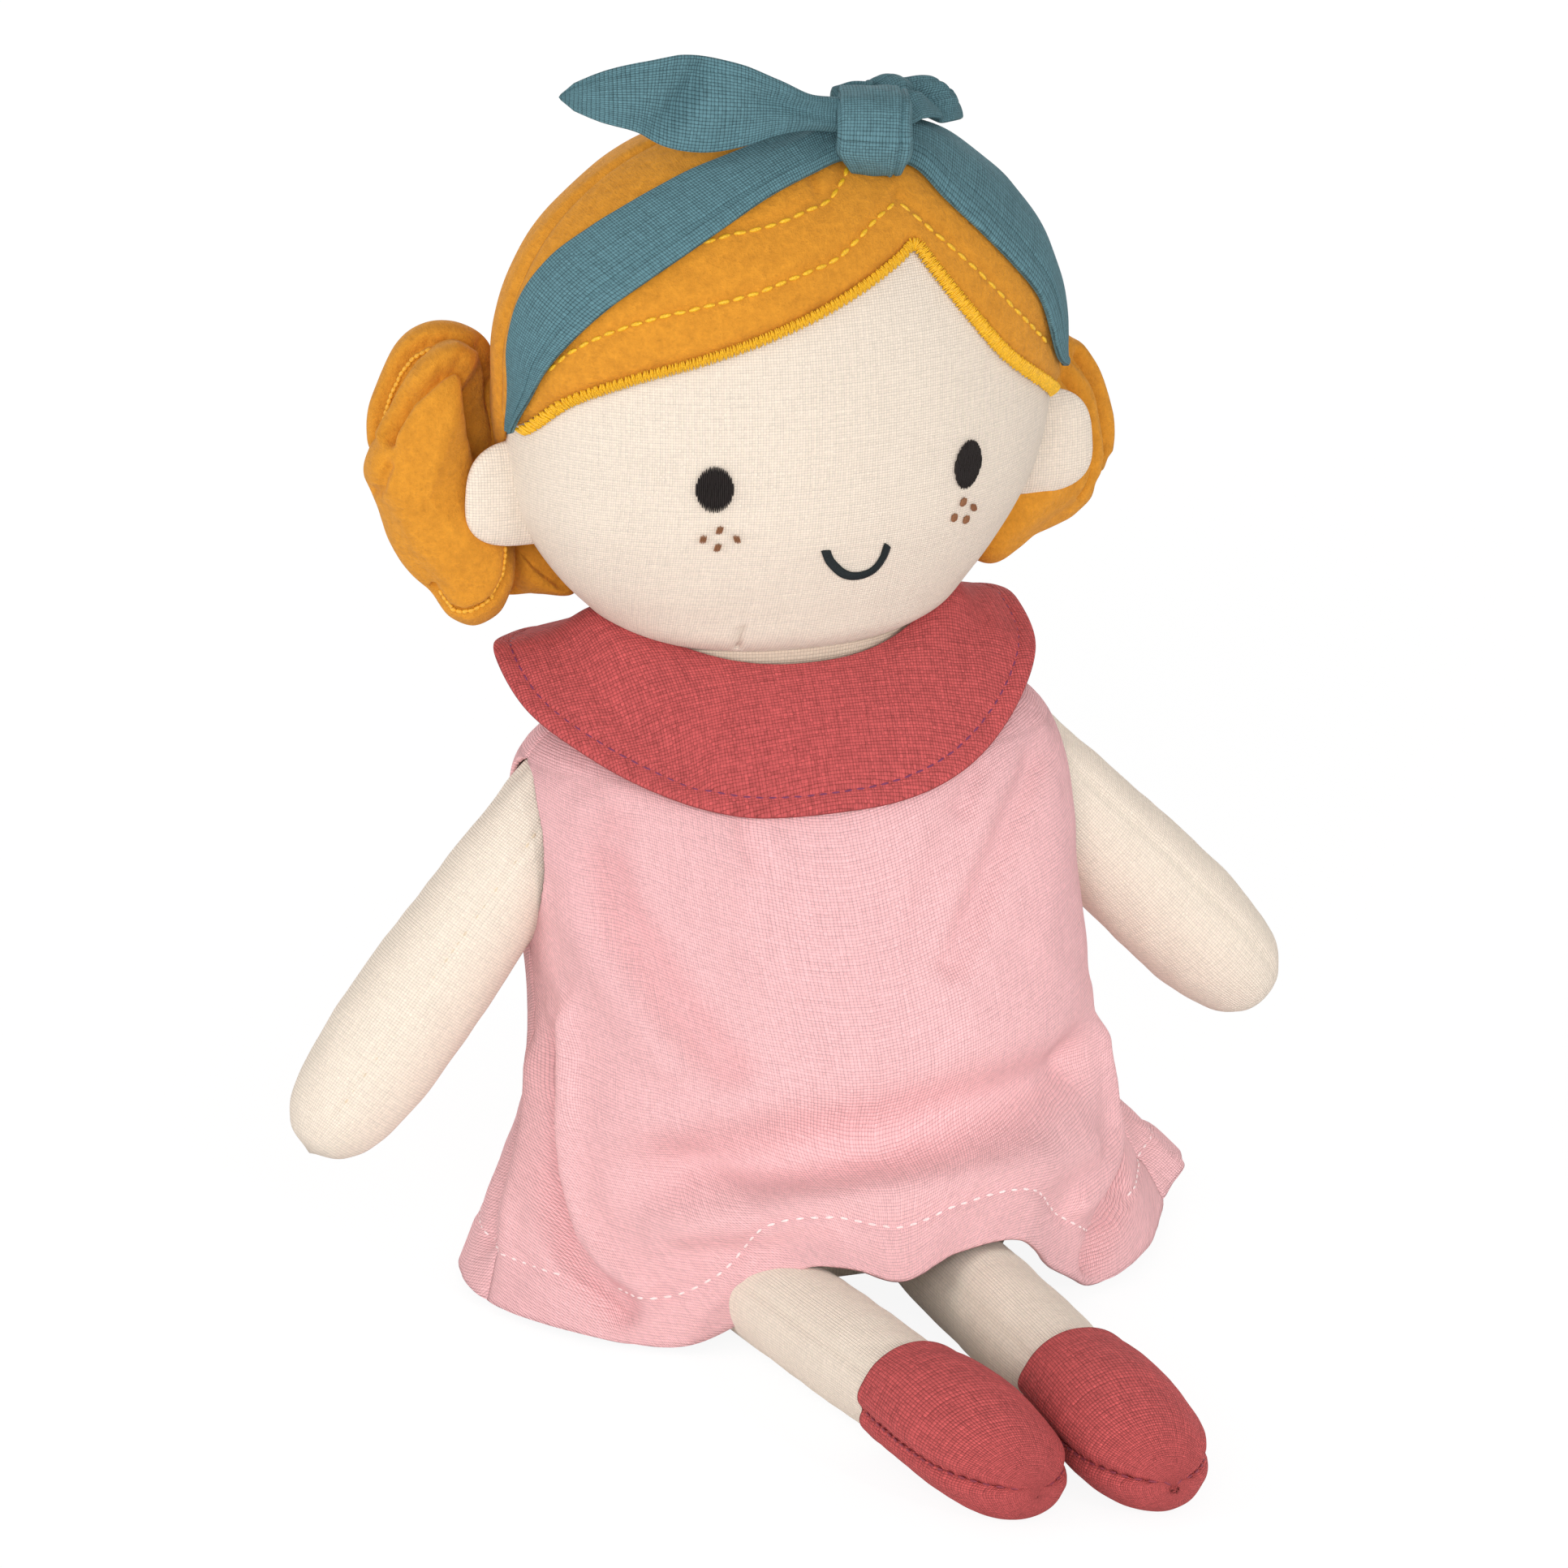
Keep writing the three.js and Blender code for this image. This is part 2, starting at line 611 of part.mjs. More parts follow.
// The felt above the hairline, seen from the front and cut straight through
function hairlineCutter() {
  const line = hairlineCurve();
  const steps = 30;
  const shape = new THREE.Shape();
  shape.moveTo(-reach, line.getPoint(0).y);
  for (let i = 0; i <= steps; i++) {
    const place = raisedPoint(line, i / steps, HAIRLINE_HALF_WIDTH + GAP);
    shape.lineTo(place.x, place.y);
  }
  shape.lineTo(reach, line.getPoint(1).y);
  shape.lineTo(reach, reach);
  shape.lineTo(-reach, reach);
  shape.closePath();
  const geometry = new THREE.ExtrudeGeometry(shape, { depth: 2 * reach, bevelEnabled: false });
  return solidOfGeometry(geometry.rotateX(Math.PI / 2).translate(headBase.x, reach, headBase.z));
}

function hairlineCurve() {
  return new THREE.SplineCurve(
    HAIRLINE_SHARES.map(([x, z]) => new THREE.Vector2(x * HEAD_HALF_WIDTH, z * HEAD_HEIGHT)),
  );
}

// A point beside a flat curve, at a distance to the left of its direction
function raisedPoint(curve, t, distance) {
  const tangent = curve.getTangent(t);
  const place = curve.getPoint(t);
  return new THREE.Vector2(place.x - distance * tangent.y, place.y + distance * tangent.x);
}

const hairFront = headForm(feltTop).subtract(headForm(GAP)).intersect(frontHalf).intersect(hairlineCutter());

// Stitching on the face: a strip along a flat curve, and a domed pad
function faceStrip(curve, halfWidth, steps) {
  const grid = (outset) => {
    const rows = [];
    for (let i = 0; i <= steps; i++) {
      const row = [-halfWidth, 0, halfWidth].map((distance) => {
        const place = raisedPoint(curve, i / steps, distance);
        return facePoint(place.x, place.y, outset);
      });
      rows.push(row);
    }
    return rows;
  };
  return solidOfSheet(grid(GAP + STITCH_RISE), grid(GAP));
}

function facePad(x, z, halfWidth, halfHeight, sides) {
  const ringAt = (share, outset) => {
    const ring = [];
    for (let j = 0; j < sides; j++) {
      const turn = (j / sides) * 2 * Math.PI;
      ring.push(facePoint(x + share * halfWidth * Math.cos(turn), z + share * halfHeight * Math.sin(turn), outset));
    }
    return ring;
  };
  const crownShare = 0.6;
  return solidOfRings([
    ringAt(crownShare, GAP),
    ringAt(1, GAP),
    ringAt(1, GAP + STITCH_RISE / 2),
    ringAt(crownShare, GAP + STITCH_RISE),
  ]);
}

// Ears
function earForm(side, grow = 0) {
  const centre = vec(
    side * EAR_SHARES.across * HEAD_HALF_WIDTH,
    headBase.y + EAR_SHARES.back * HEAD_HALF_DEPTH,
    headBase.z + EAR_SHARES.height * HEAD_HEIGHT,
  );
  const half = vec(EAR_HALF_WIDTH + grow, EAR_HALF_DEPTH + grow, EAR_HALF_HEIGHT + grow);
  return ellipsoid(centre, half, 14, 10);
}
const headClear = headForm(feltTop + GAP);
const ear = (side) => earForm(side).subtract(headClear);

// Headband, knot and tails
function headband() {
  const edges = [0, 1].map((edge) => new THREE.CatmullRomCurve3(
    BAND_SHARES.map((row) => vec(...row[edge])),
  ));
  const steps = 24;
  const columns = 3;
  const grid = (outset) => {
    const rows = [];
    for (let i = 0; i <= steps; i++) {
      const [front, back] = edges.map((curve) => curve.getPoint(i / steps));
      const row = [];
      for (let j = 0; j <= columns; j++) {
        row.push(onHead(front.clone().lerp(back, j / columns).toArray(), outset));
      }
      rows.push(row);
    }
    return rows;
  };
  const lift = feltTop + GAP;
  return solidOfSheet(grid(lift + BAND_CLOTH), grid(lift)).subtract(headClear);
}

const knotSeat = onHead([KNOT_SHARES.across, KNOT_SHARES.back, 1], feltTop + GAP + BAND_CLOTH + GAP);
const knotCentre = vec(knotSeat.x, knotSeat.y, knotSeat.z + KNOT_HALF_HEIGHT / 2);
const knotForm = (grow = 0) => ellipsoid(
  knotCentre,
  vec(KNOT_HALF_WIDTH + grow, KNOT_HALF_DEPTH + grow, KNOT_HALF_HEIGHT + grow),
  14,
  10,
);
const bandClear = headForm(feltTop + GAP + BAND_CLOTH + 2 * GAP);
const knot = knotForm().subtract(bandClear);

// A leaf of folded cloth that leaves the knot on a gentle arc
function bowTail(way) {
  const out = vec(way.x, way.y, 0).normalize();
  const root = knotCentre.clone().addScaledVector(out, KNOT_HALF_WIDTH);
  root.z += way.start * KNOT_HALF_HEIGHT;
  const path = new THREE.QuadraticBezierCurve3(
    root,
    root.clone().add(vec(way.x, way.y, 2 * way.middle).multiplyScalar(TAIL_LENGTH / 2)),
    root.clone().add(vec(way.x, way.y, way.tip).multiplyScalar(TAIL_LENGTH)),
  );
  const level = vec(-out.y, out.x, 0);
  const widthWay = level.multiplyScalar(Math.sqrt(1 - way.upright ** 2)).add(vec(0, 0, way.upright));
  const steps = 12;
  const rings = [];
  const swell = new THREE.SplineCurve(TAIL_SHARES.map(([at, share]) => new THREE.Vector2(at, share)));
  for (let i = 0; i <= steps; i++) {
    const { x: at, y: share } = swell.getPoint(i / steps);
    const centre = path.getPoint(Math.min(Math.max(at, 0), 1));
    const half = TAIL_ROOT_HALF_WIDTH + share * (way.wide * TAIL_HALF_WIDTH - TAIL_ROOT_HALF_WIDTH);
    const through = path.getTangent(Math.min(Math.max(at, 0), 1)).cross(widthWay).normalize();
    const ring = [];
    for (const [w, h] of [[-1, 0], [-0.5, 0.5], [0.5, 0.5], [1, 0], [0.5, -0.5], [-0.5, -0.5]]) {
      ring.push(centre.clone().addScaledVector(widthWay, w * half).addScaledVector(through, h * TAIL_CLOTH));
    }
    rings.push(ring);
  }
  return solidOfRings(rings).subtract(knotForm(GAP)).subtract(bandClear);
}

// Buns
function bunForm(side, shares, radius, grow = 0) {
  const low = vec(side * BUN_OUT, headBase.y + BUN_BACK, headBase.z + BUN_LOW);
  const stations = shares.map(([out, back, upwards, thick]) => ({
    centre: vec(side * out, back, upwards).multiplyScalar(BUN_HEIGHT).add(low),
    thick: thick * radius,
  }));
  const path = new THREE.CatmullRomCurve3(stations.map((s) => s.centre));
  const thickness = new THREE.CatmullRomCurve3(stations.map((s) => vec(s.thick, 0, 0)));
  const steps = 12;
  const sides = 10;
  const depthWay = vec(0, 1, 0);
  const rings = [];
  for (let i = 0; i <= steps; i++) {
    const t = i / steps;
    const forward = path.getTangent(t);
    const sideways = forward.clone().cross(depthWay).normalize();
    const half = thickness.getPoint(t).x + grow;
    const ring = [];
    for (let j = 0; j < sides; j++) {
      const turn = (j / sides) * 2 * Math.PI;
      ring.push(path.getPoint(t)
        .addScaledVector(sideways, half * Math.cos(turn))
        .addScaledVector(depthWay, half * Math.sin(turn)));
    }
    rings.push(ring);
  }
  return solidOfRings(rings);
}

function bunLobe(side) {
  return bunForm(side, BUN_LOBE_SHARES, BUN_RADIUS).subtract(headClear).subtract(earForm(side, GAP));
}

function bunWrap(side) {
  return bunForm(side, BUN_WRAP_SHARES, BUN_WRAP_RADIUS)
    .subtract(headClear)
    .subtract(bunForm(side, BUN_LOBE_SHARES, BUN_RADIUS, 2 * GAP))
    .subtract(bunForm(side, BUN_LOBE_SHARES, BUN_RADIUS))
    .subtract(earForm(side, GAP));
}

// Arms

const shoulderX = torsoAt(SHOULDER_HEIGHT).halfWidth + SHOULDER_RADIUS + GAP;

function armForm(side, hand, grow = 0, startOverrun = 0) {
  const shoulder = vec(side * shoulderX, SHOULDER_Y, SHOULDER_HEIGHT);
  const way = vec(side * hand.out, hand.back, -hand.down);
  const forward = way.clone().normalize();
  const across = vec(-forward.z, 0, forward.x).normalize();
  const up = forward.clone().cross(across).normalize();
  const stations = ARM_SHARES.map(([at, share]) => ({
    centre: shoulder.clone().addScaledVector(way, at),
    across,
    up,
    half: [share * ARM_HALF_THICKNESS, share * ARM_HALF_THICKNESS * ARM_FLATNESS_SHARE],
  }));
  return stuffedForm(stations, 12, 10, grow, startOverrun);
}

// Legs and shoes

const legEnd = (side, leg) => vec(
  side * (HIP_HALF_SPACING - (leg.inward * leg.length) / (leg.length + leg.shoe)),
  -HIP_FORWARD - leg.length,
  LEG_RADIUS - FLAT_CUT,
);

function legForm(side, leg, grow = 0, startOverrun = 0, endOverrun = 0) {
  const hip = vec(side * HIP_HALF_SPACING, -HIP_FORWARD, HIP_HEIGHT);
  const end = legEnd(side, leg);
  const stations = LEG_SHARES.map(([at, width, height]) => {
    const halfHeight = HIP_HALF_HEIGHT + height * (LEG_RADIUS - HIP_HALF_HEIGHT);
    const centre = hip.clone().lerp(end, at);
    centre.z = HIP_HEIGHT + height * (end.z - HIP_HEIGHT);
    return {
      centre,
      across: vec(1, 0, 0),
      up: vec(0, 0, 1),
      half: [HIP_HALF_WIDTH + width * (LEG_RADIUS - HIP_HALF_WIDTH), halfHeight],
    };
  });
  return stuffedForm(stations, 12, 10, grow, startOverrun, endOverrun);
}

function shoeForm(side, leg, grow = 0, startOverrun = 0) {
  const start = legEnd(side, leg);
  const toe = vec(side * (HIP_HALF_SPACING - leg.inward), start.y - leg.shoe, start.z);
  const stations = SHOE_SHARES.map(([at, width, height, middle]) => {
    const centre = start.clone().lerp(toe, at);
    centre.z = middle * SHOE_HALF_HEIGHT - FLAT_CUT;
    return {
      centre,
      across: vec(1, 0, 0),
      up: vec(0, 0, 1),
      half: [width * SHOE_HALF_WIDTH, height * SHOE_HALF_HEIGHT],
    };
  });
  return stuffedForm(stations, 14, 10, grow, startOverrun);
}

function legAndFoot(side, leg) {
  const ankle = legEnd(side, leg).y;
  const seam = 2 * SHOE_SEAM_SHARE * SHOE_HALF_HEIGHT;
  const behindAnkle = box(vec(-reach, ankle + GAP, -reach), vec(reach, reach, reach));
  const aheadOfHip = box(vec(-reach, -reach, -reach), vec(reach, -HIP_FORWARD - GAP, reach));
  const aboveSeam = box(vec(-reach, -reach, seam + GAP / 2), vec(reach, reach, reach));
  const belowSeam = box(vec(-reach, -reach, -reach), vec(reach, reach, seam - GAP / 2));
  const legHollow = legForm(side, leg, -LINEN, OVERRUN, OVERRUN);
  const hip = [side * HIP_HALF_SPACING, -HIP_FORWARD, HIP_HEIGHT];
  const back = hip.map((value) => -value);
  const torsoTurned = HIP_TURN_DEGREES
    .map((degrees) => torsoClear.translate(back).rotate([-degrees, 0, 0]).translate(hip))
    .reduce((all, turned) => all.add(turned));
  const shoeSkin = shoeForm(side, leg).intersect(aboveFloor)
    .subtract(shoeForm(side, leg, -LINEN, OVERRUN));
  return {
    skin: legForm(side, leg).intersect(aboveFloor).intersect(behindAnkle).subtract(legHollow)
      .subtract(torsoTurned),
    stuffing: legForm(side, leg, -LINEN - GAP, 0, SHOE_LAP)
      .add(shoeForm(side, leg, -LINEN - GAP)).intersect(aheadOfHip).subtract(torsoTurned),
    upper: shoeSkin.intersect(aboveSeam),
    sole: shoeSkin.intersect(belowSeam),
  };
}

// Dress

const power = (value, exponent) => Math.sign(value) * Math.abs(value) ** (2 / exponent);

// The dress's outer face: rings of control points from the neck to the hem, smoothed both ways
function dressGrid(rows, columns, inset) {
  const turns = HEM_SHARES.map(([degrees]) => (degrees * Math.PI) / 180);
  const levels = DRESS_SHARES.map(([height, width, front, back, squareness, lift, lean]) => turns.map((turn) => {
    const across = power(Math.cos(turn), squareness);
    const ahead = power(Math.sin(turn), squareness);
    const depth = ahead > 0 ? front * DRESS_FRONT : back * DRESS_BACK;
    return vec(
      (across * width + lean) * DRESS_HALF_WIDTH,
      DRESS_CENTRE_Y - ahead * depth,
      (height + lift * Math.abs(across)) * DRESS_HEIGHT,
    );
  }));
  levels.push(HEM_SHARES.map(([, x, y, z]) => vec(x * HEM_HALF_WIDTH, y * HEM_DEPTH, z * HEM_LIFT)));
  const rings = levels.map((level) => new THREE.CatmullRomCurve3(level, true, "centripetal"));
  const grid = [];
  for (let j = 0; j < columns; j++) {
    const down = new THREE.CatmullRomCurve3(rings.map((ring) => ring.getPoint(j / columns)), false, "centripetal");
    grid.push(down.getPoints(rows));
  }
  return inset > 0 ? insetGrid(grid, inset) : grid;
}

// The same grid, columns first, moved inwards along its own normals
function insetGrid(grid, inset) {
  const columns = grid.length;
  return grid.map((column, j) => column.map((point, i) => {
    const around = grid[(j + 1) % columns][i].clone().sub(grid[(j + columns - 1) % columns][i]);
    const down = column[Math.min(i + 1, column.length - 1)].clone().sub(column[Math.max(i - 1, 0)]);
    const inwards = down.cross(around).normalize();
    return point.clone().addScaledVector(inwards, inset);
  }));
}

function transpose(grid) {
  return grid[0].map((_, i) => grid.map((column) => column[i]));
}

function dressShell() {
  const rows = 12;
  const columns = 48;
  return solidOfSheet(
    transpose(dressGrid(rows, columns, 0)),
    transpose(dressGrid(rows, columns, DRESS_CLOTH)),
    true,
  );
}

// A rounded slot through both sides of the dress, for the arms
function armholes() {
  const shape = new THREE.Shape();
  const middle = TORSO_HEIGHT - ARMHOLE_TOP_DROP - ARMHOLE_LENGTH / 2;
  shape.absellipse(SHOULDER_Y, middle, ARMHOLE_HALF_DEPTH, ARMHOLE_LENGTH / 2, 0, 2 * Math.PI);
  const geometry = new THREE.ExtrudeGeometry(shape, { depth: 2 * reach, bevelEnabled: false, curveSegments: 16 });
  const turned = new THREE.Matrix4().makeBasis(vec(0, 1, 0), vec(0, 0, 1), vec(1, 0, 0));
  return solidOfGeometry(geometry.applyMatrix4(turned).translate(-reach, 0, 0));
}

// Collar

function collar() {
  const outer = new THREE.CatmullRomCurve3(COLLAR_SHARES.map(([, x, y, drop]) => vec(
    x * COLLAR_HALF_WIDTH,
    NECK_CENTRE_Y + y * COLLAR_DEPTH,
    collarZ - drop * COLLAR_DROP,
  )), true, "centripetal");
  const columns = 36;
  const rows = 4;
  const turns = COLLAR_SHARES.map(([degrees]) => degrees);
  const grid = (rise) => {
    const made = [];
    for (let i = 0; i <= rows; i++) {
      const ring = [];
      for (let j = 0; j < columns; j++) {
        const place = (j / columns) * turns.length;
        const low = turns[Math.floor(place)];
        const high = turns[Math.ceil(place)] ?? FULL_TURN_DEGREES;
        const turn = ((low + (place % 1) * (high - low)) * Math.PI) / 180;
        const inner = vec(
          (headFoot.x + 2 * GAP) * Math.cos(turn),
          NECK_CENTRE_Y + (headFoot.y + 2 * GAP) * Math.sin(turn),
          collarZ,
        );
        const bulge = COLLAR_CLOTH * Math.sin((i / rows) * Math.PI);
        ring.push(inner.lerp(outer.getPoint(j / columns), i / rows).add(vec(0, 0, rise + bulge)));
      }
      made.push(ring);
    }
    return made;
  };
  return solidOfSheet(grid(COLLAR_CLOTH / 2), grid(-COLLAR_CLOTH / 2), true);
}
const collarZ = neckTop.z - GAP - COLLAR_CLOTH / 2;

// The whole doll

const doll = new THREE.Group();
const finishes = {
  linen: { color: LINEN_CREAM, roughness: 0.9, metalness: 0 },
  felt: { color: MUSTARD, roughness: 1, metalness: 0 },
  teal: { color: TEAL, roughness: 0.9, metalness: 0 },
  red: { color: BRICK_RED, roughness: 0.9, metalness: 0 },
  pink: { color: ROSE_PINK, roughness: 0.9, metalness: 0 },
  gold: { color: GOLD, roughness: 0.5, metalness: 0 },
  black: { color: BLACK, roughness: 0.6, metalness: 0 },
  blueBlack: { color: BLUE_BLACK, roughness: 0.6, metalness: 0 },
  brown: { color: BROWN, roughness: 0.7, metalness: 0 },
  fibre: { color: FIBRE_WHITE, roughness: 1, metalness: 0 },
};

function addPiece(name, solid, finish) {
  const mesh = new THREE.Mesh(geometryOfSolid(solid), new THREE.MeshStandardMaterial(finishes[finish]));
  mesh.name = name;
  doll.add(mesh);
}

addPiece("torso_skin", torsoSkin, "linen");
addPiece("torso_stuffing", torsoStuffing, "fibre");
addPiece("neck_band", neckBand, "linen");
addPiece("neck_stuffing", neckStuffing, "fibre");
addPiece("head_stuffing", headStuffing, "fibre");
addPiece("face_panel", facePanel, "linen");
addPiece("hair_front", hairFront, "felt");
addPiece("hair_back", hairBack, "felt");
addPiece("hairline_stitch", faceStrip(hairlineCurve(), HAIRLINE_HALF_WIDTH, 30), "gold");
for (const [name, x, z] of EYE_SHARES) {
  const pad = facePad(x * HEAD_HALF_WIDTH, z * HEAD_HEIGHT, EYE_HALF_WIDTH, EYE_HALF_HEIGHT, 12);
  addPiece(name, pad, "black");
}
for (const [name, places] of FRECKLE_SHARES) {
  places.forEach(([x, z], i) => {
    const pad = facePad(x * HEAD_HALF_WIDTH, z * HEAD_HEIGHT, FRECKLE_HALF_WIDTH, FRECKLE_HALF_HEIGHT, 6);
    addPiece(`${name}_${i + 1}`, pad, "brown");
  });
}
const smileCurve = new THREE.SplineCurve(
  SMILE_SHARES.map(([x, z]) => new THREE.Vector2(x * HEAD_HALF_WIDTH, z * HEAD_HEIGHT)),
);
addPiece("smile", faceStrip(smileCurve, SMILE_HALF_WIDTH, 12), "blueBlack");
addPiece("headband", headband(), "teal");
addPiece("bow_knot", knot, "teal");
addPiece("bow_right_tail", bowTail(RIGHT_TAIL_SHARES), "teal");
addPiece("bow_left_tail", bowTail(LEFT_TAIL_SHARES), "teal");

const arms = [["right", -1, RIGHT_HAND_REACH], ["left", 1, LEFT_HAND_REACH]];
const legs = [["right", -1, RIGHT_LEG], ["left", 1, LEFT_LEG]];
let dress = dressShell().intersect(aboveFloor).subtract(torsoClear).subtract(armholes());
for (const [name, side, hand] of arms) {
  addPiece(`${name}_ear`, ear(side), "linen");
  addPiece(`${name}_bun_lobe`, bunLobe(side), "felt");
  addPiece(`${name}_bun_wrap`, bunWrap(side), "felt");
  addPiece(`${name}_arm_skin`, armForm(side, hand).subtract(armForm(side, hand, -LINEN, OVERRUN)), "linen");
  addPiece(`${name}_arm_stuffing`, armForm(side, hand, -LINEN - GAP), "fibre");
  dress = dress.subtract(armForm(side, hand, GAP));
}
for (const [name, side, leg] of legs) {
  const { skin, stuffing, upper, sole } = legAndFoot(side, leg);
  addPiece(`${name}_leg_skin`, skin, "linen");
  addPiece(`${name}_leg_stuffing`, stuffing, "fibre");
  addPiece(`${name}_shoe_upper`, upper, "red");
  addPiece(`${name}_shoe_sole`, sole, "red");
  dress = dress.subtract(legForm(side, leg, GAP));
}
const dressSeam = DRESS_CENTRE_Y;
const dressAhead = box(vec(-reach, -reach, -reach), vec(reach, dressSeam - GAP / 2, reach));
const dressBehind = box(vec(-reach, dressSeam + GAP / 2, -reach), vec(reach, reach, reach));
addPiece("dress_front", dress.intersect(dressAhead), "pink");
addPiece("dress_back", dress.intersect(dressBehind), "pink");
addPiece("collar", collar(), "red");

export default doll;
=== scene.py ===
import math

import bmesh
import bpy
import numpy as np
from mathutils import Matrix, Vector, noise
from mathutils.bvhtree import BVHTree


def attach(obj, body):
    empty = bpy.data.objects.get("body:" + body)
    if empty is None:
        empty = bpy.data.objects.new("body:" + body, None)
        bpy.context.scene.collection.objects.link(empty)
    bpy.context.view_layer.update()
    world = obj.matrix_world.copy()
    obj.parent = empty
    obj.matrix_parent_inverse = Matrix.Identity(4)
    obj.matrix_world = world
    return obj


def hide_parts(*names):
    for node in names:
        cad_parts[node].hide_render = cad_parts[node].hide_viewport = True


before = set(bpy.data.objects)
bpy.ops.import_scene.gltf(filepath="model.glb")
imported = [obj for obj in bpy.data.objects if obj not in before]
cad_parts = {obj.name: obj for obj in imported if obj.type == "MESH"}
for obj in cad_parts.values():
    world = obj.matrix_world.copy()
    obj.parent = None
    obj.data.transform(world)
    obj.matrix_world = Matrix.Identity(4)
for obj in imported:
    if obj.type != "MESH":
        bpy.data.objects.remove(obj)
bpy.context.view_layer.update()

MM = 0.001
QUARTER = math.pi / 2

# Camera and its picture

AZIMUTH, ELEVATION = math.radians(-20.0), math.radians(18.0)
CAMERA_DISTANCE = 2260.0
FOCAL_PIXELS, PICTURE_PIXELS = 14000.0, 1932.0
ORIGIN_PIXEL = (1012.0, 1590.0)
SENSOR_WIDTH, FARTHEST_SEEN = 36.0, 50.0


def place_camera():
    towards = np.array([
        math.sin(AZIMUTH) * math.cos(ELEVATION),
        -math.cos(AZIMUTH) * math.cos(ELEVATION),
        math.sin(ELEVATION),
    ])
    right = np.array([math.cos(AZIMUTH), math.sin(AZIMUTH), 0.0])
    up = np.cross(towards, right)
    middle = PICTURE_PIXELS / 2
    aside = (ORIGIN_PIXEL[0] - middle) / FOCAL_PIXELS * CAMERA_DISTANCE
    above = -(ORIGIN_PIXEL[1] - middle) / FOCAL_PIXELS * CAMERA_DISTANCE
    target = -(aside * right + above * up)
    data = bpy.data.cameras.new("camera")
    data.sensor_width = SENSOR_WIDTH
    data.lens = FOCAL_PIXELS / PICTURE_PIXELS * SENSOR_WIDTH
    data.clip_end = FARTHEST_SEEN
    camera = bpy.data.objects.new("camera", data)
    bpy.context.scene.collection.objects.link(camera)
    place = (target + CAMERA_DISTANCE * towards) * MM
    camera.matrix_world = Matrix([*zip(right, up, towards, place), (0, 0, 0, 1)])
    bpy.context.scene.camera = camera


place_camera()
bpy.context.scene.view_settings.view_transform = "Standard"

# Small sums


def smooth(low, high, value):
    t = np.clip((value - low) / (high - low), 0.0, 1.0)
    return t * t * (3 - 2 * t)


def ridge(distance, width):
    return np.exp(-((distance / width) ** 2))


def bend(a, b, c, d, weight, uniform=False):
    """The curve from b to c, on its way from a and towards d."""
    if uniform:
        da = db = dc = 1.0
    else:
        da, db, dc = (
            np.maximum(((q - r) ** 2).sum(-1, keepdims=True) ** 0.25, 1e-9)
            for q, r in ((a, b), (b, c), (c, d))
        )
    m1 = ((b - a) / da - (c - a) / (da + db) + (c - b) / db) * db
    m2 = ((c - b) / db - (d - b) / (db + dc) + (d - c) / dc) * db
    return (
        b
        + m1 * weight
        + (-3 * b + 3 * c - 2 * m1 - m2) * weight**2
        + (2 * b - 2 * c + m1 + m2) * weight**3
    )


def spline(points, t, closed=False, uniform=False):
    """A smooth curve through the points, at the shares t of its way."""
    points = np.asarray(points, float)
    t = np.asarray(t, float)
    count = len(points)
    p = (count if closed else count - 1) * t
    start = np.floor(p).astype(int)
    if closed:
        sides = (points[(start + k) % count] for k in (-1, 0, 1, 2))
    else:
        start = np.clip(start, 0, count - 2)
        first = points[0] if uniform else 2 * points[0] - points[1]
        last = points[-1] if uniform else 2 * points[-1] - points[-2]
        padded = np.concatenate([[first], points, [last]])
        sides = (padded[start + 1 + k] for k in (-1, 0, 1, 2))
    return bend(*sides, (p - start)[..., None], uniform)


def wobble(points, size, seed=0.0):
    """Smooth unevenness between about -1 and 1, with lumps of that size in millimetres."""
    flat = np.asarray(points, float).reshape(-1, 3) / size + seed
    values = np.array([noise.noise(Vector(p)) for p in flat])
    return values.reshape(np.shape(points)[:-1])


def squared(value, exponent):
    """A sine or cosine pushed out towards a square, or as it is with an exponent of 2."""
    return np.sign(value) * np.abs(value) ** (2 / exponent)


def turn_between(angle, other):
    """The angle between two directions, from none to half a turn."""
    return np.abs(np.angle(np.exp(1j * (angle - other))))


def upright(angle, wide=1.0, high=1.0, ahead=0.0):
    """Points or directions round an upright ring that faces forwards."""
    return np.stack([wide * np.cos(angle), ahead + 0 * angle, high * np.sin(angle)], -1)


def between_rows(rows, t):
    """The values of evenly spaced rows at the shares t of their way, with straight steps."""
    shares = np.linspace(0, 1, len(rows))
    return np.stack([np.interp(t, shares, column) for column in rows.T], -1)


def way_along(points):
    """How far along a line each of its points lies."""
    return np.concatenate([[0], np.cumsum(np.linalg.norm(np.diff(points, axis=0), axis=1))])


def point_along(points, way, at):
    return np.array([np.interp(at, way, column) for column in points.T])


def distance_to_line(px, pz, line):
    """Least distance from the points (px, pz) to a line through flat points."""
    best = np.full(np.shape(px), 1e9)
    for (ax, az), (bx, bz) in zip(line[:-1], line[1:]):
        dx, dz = bx - ax, bz - az
        t = np.clip(((px - ax) * dx + (pz - az) * dz) / (dx * dx + dz * dz), 0, 1)
        best = np.minimum(best, np.hypot(px - ax - t * dx, pz - az - t * dz))
    return best


def near_course(points, course):
    """Least distance in space from the points to a course of straight steps."""
    course = np.asarray(course, float)
    best = np.full(np.shape(points)[:-1], 1e9)
    for a, b in zip(course[:-1], course[1:]):
        step = b - a
        t = np.clip(((points - a) * step).sum(-1) / max(step @ step, 1e-9), 0, 1)
        best = np.minimum(best, np.linalg.norm(points - a - t[..., None] * step, axis=-1))
    return best


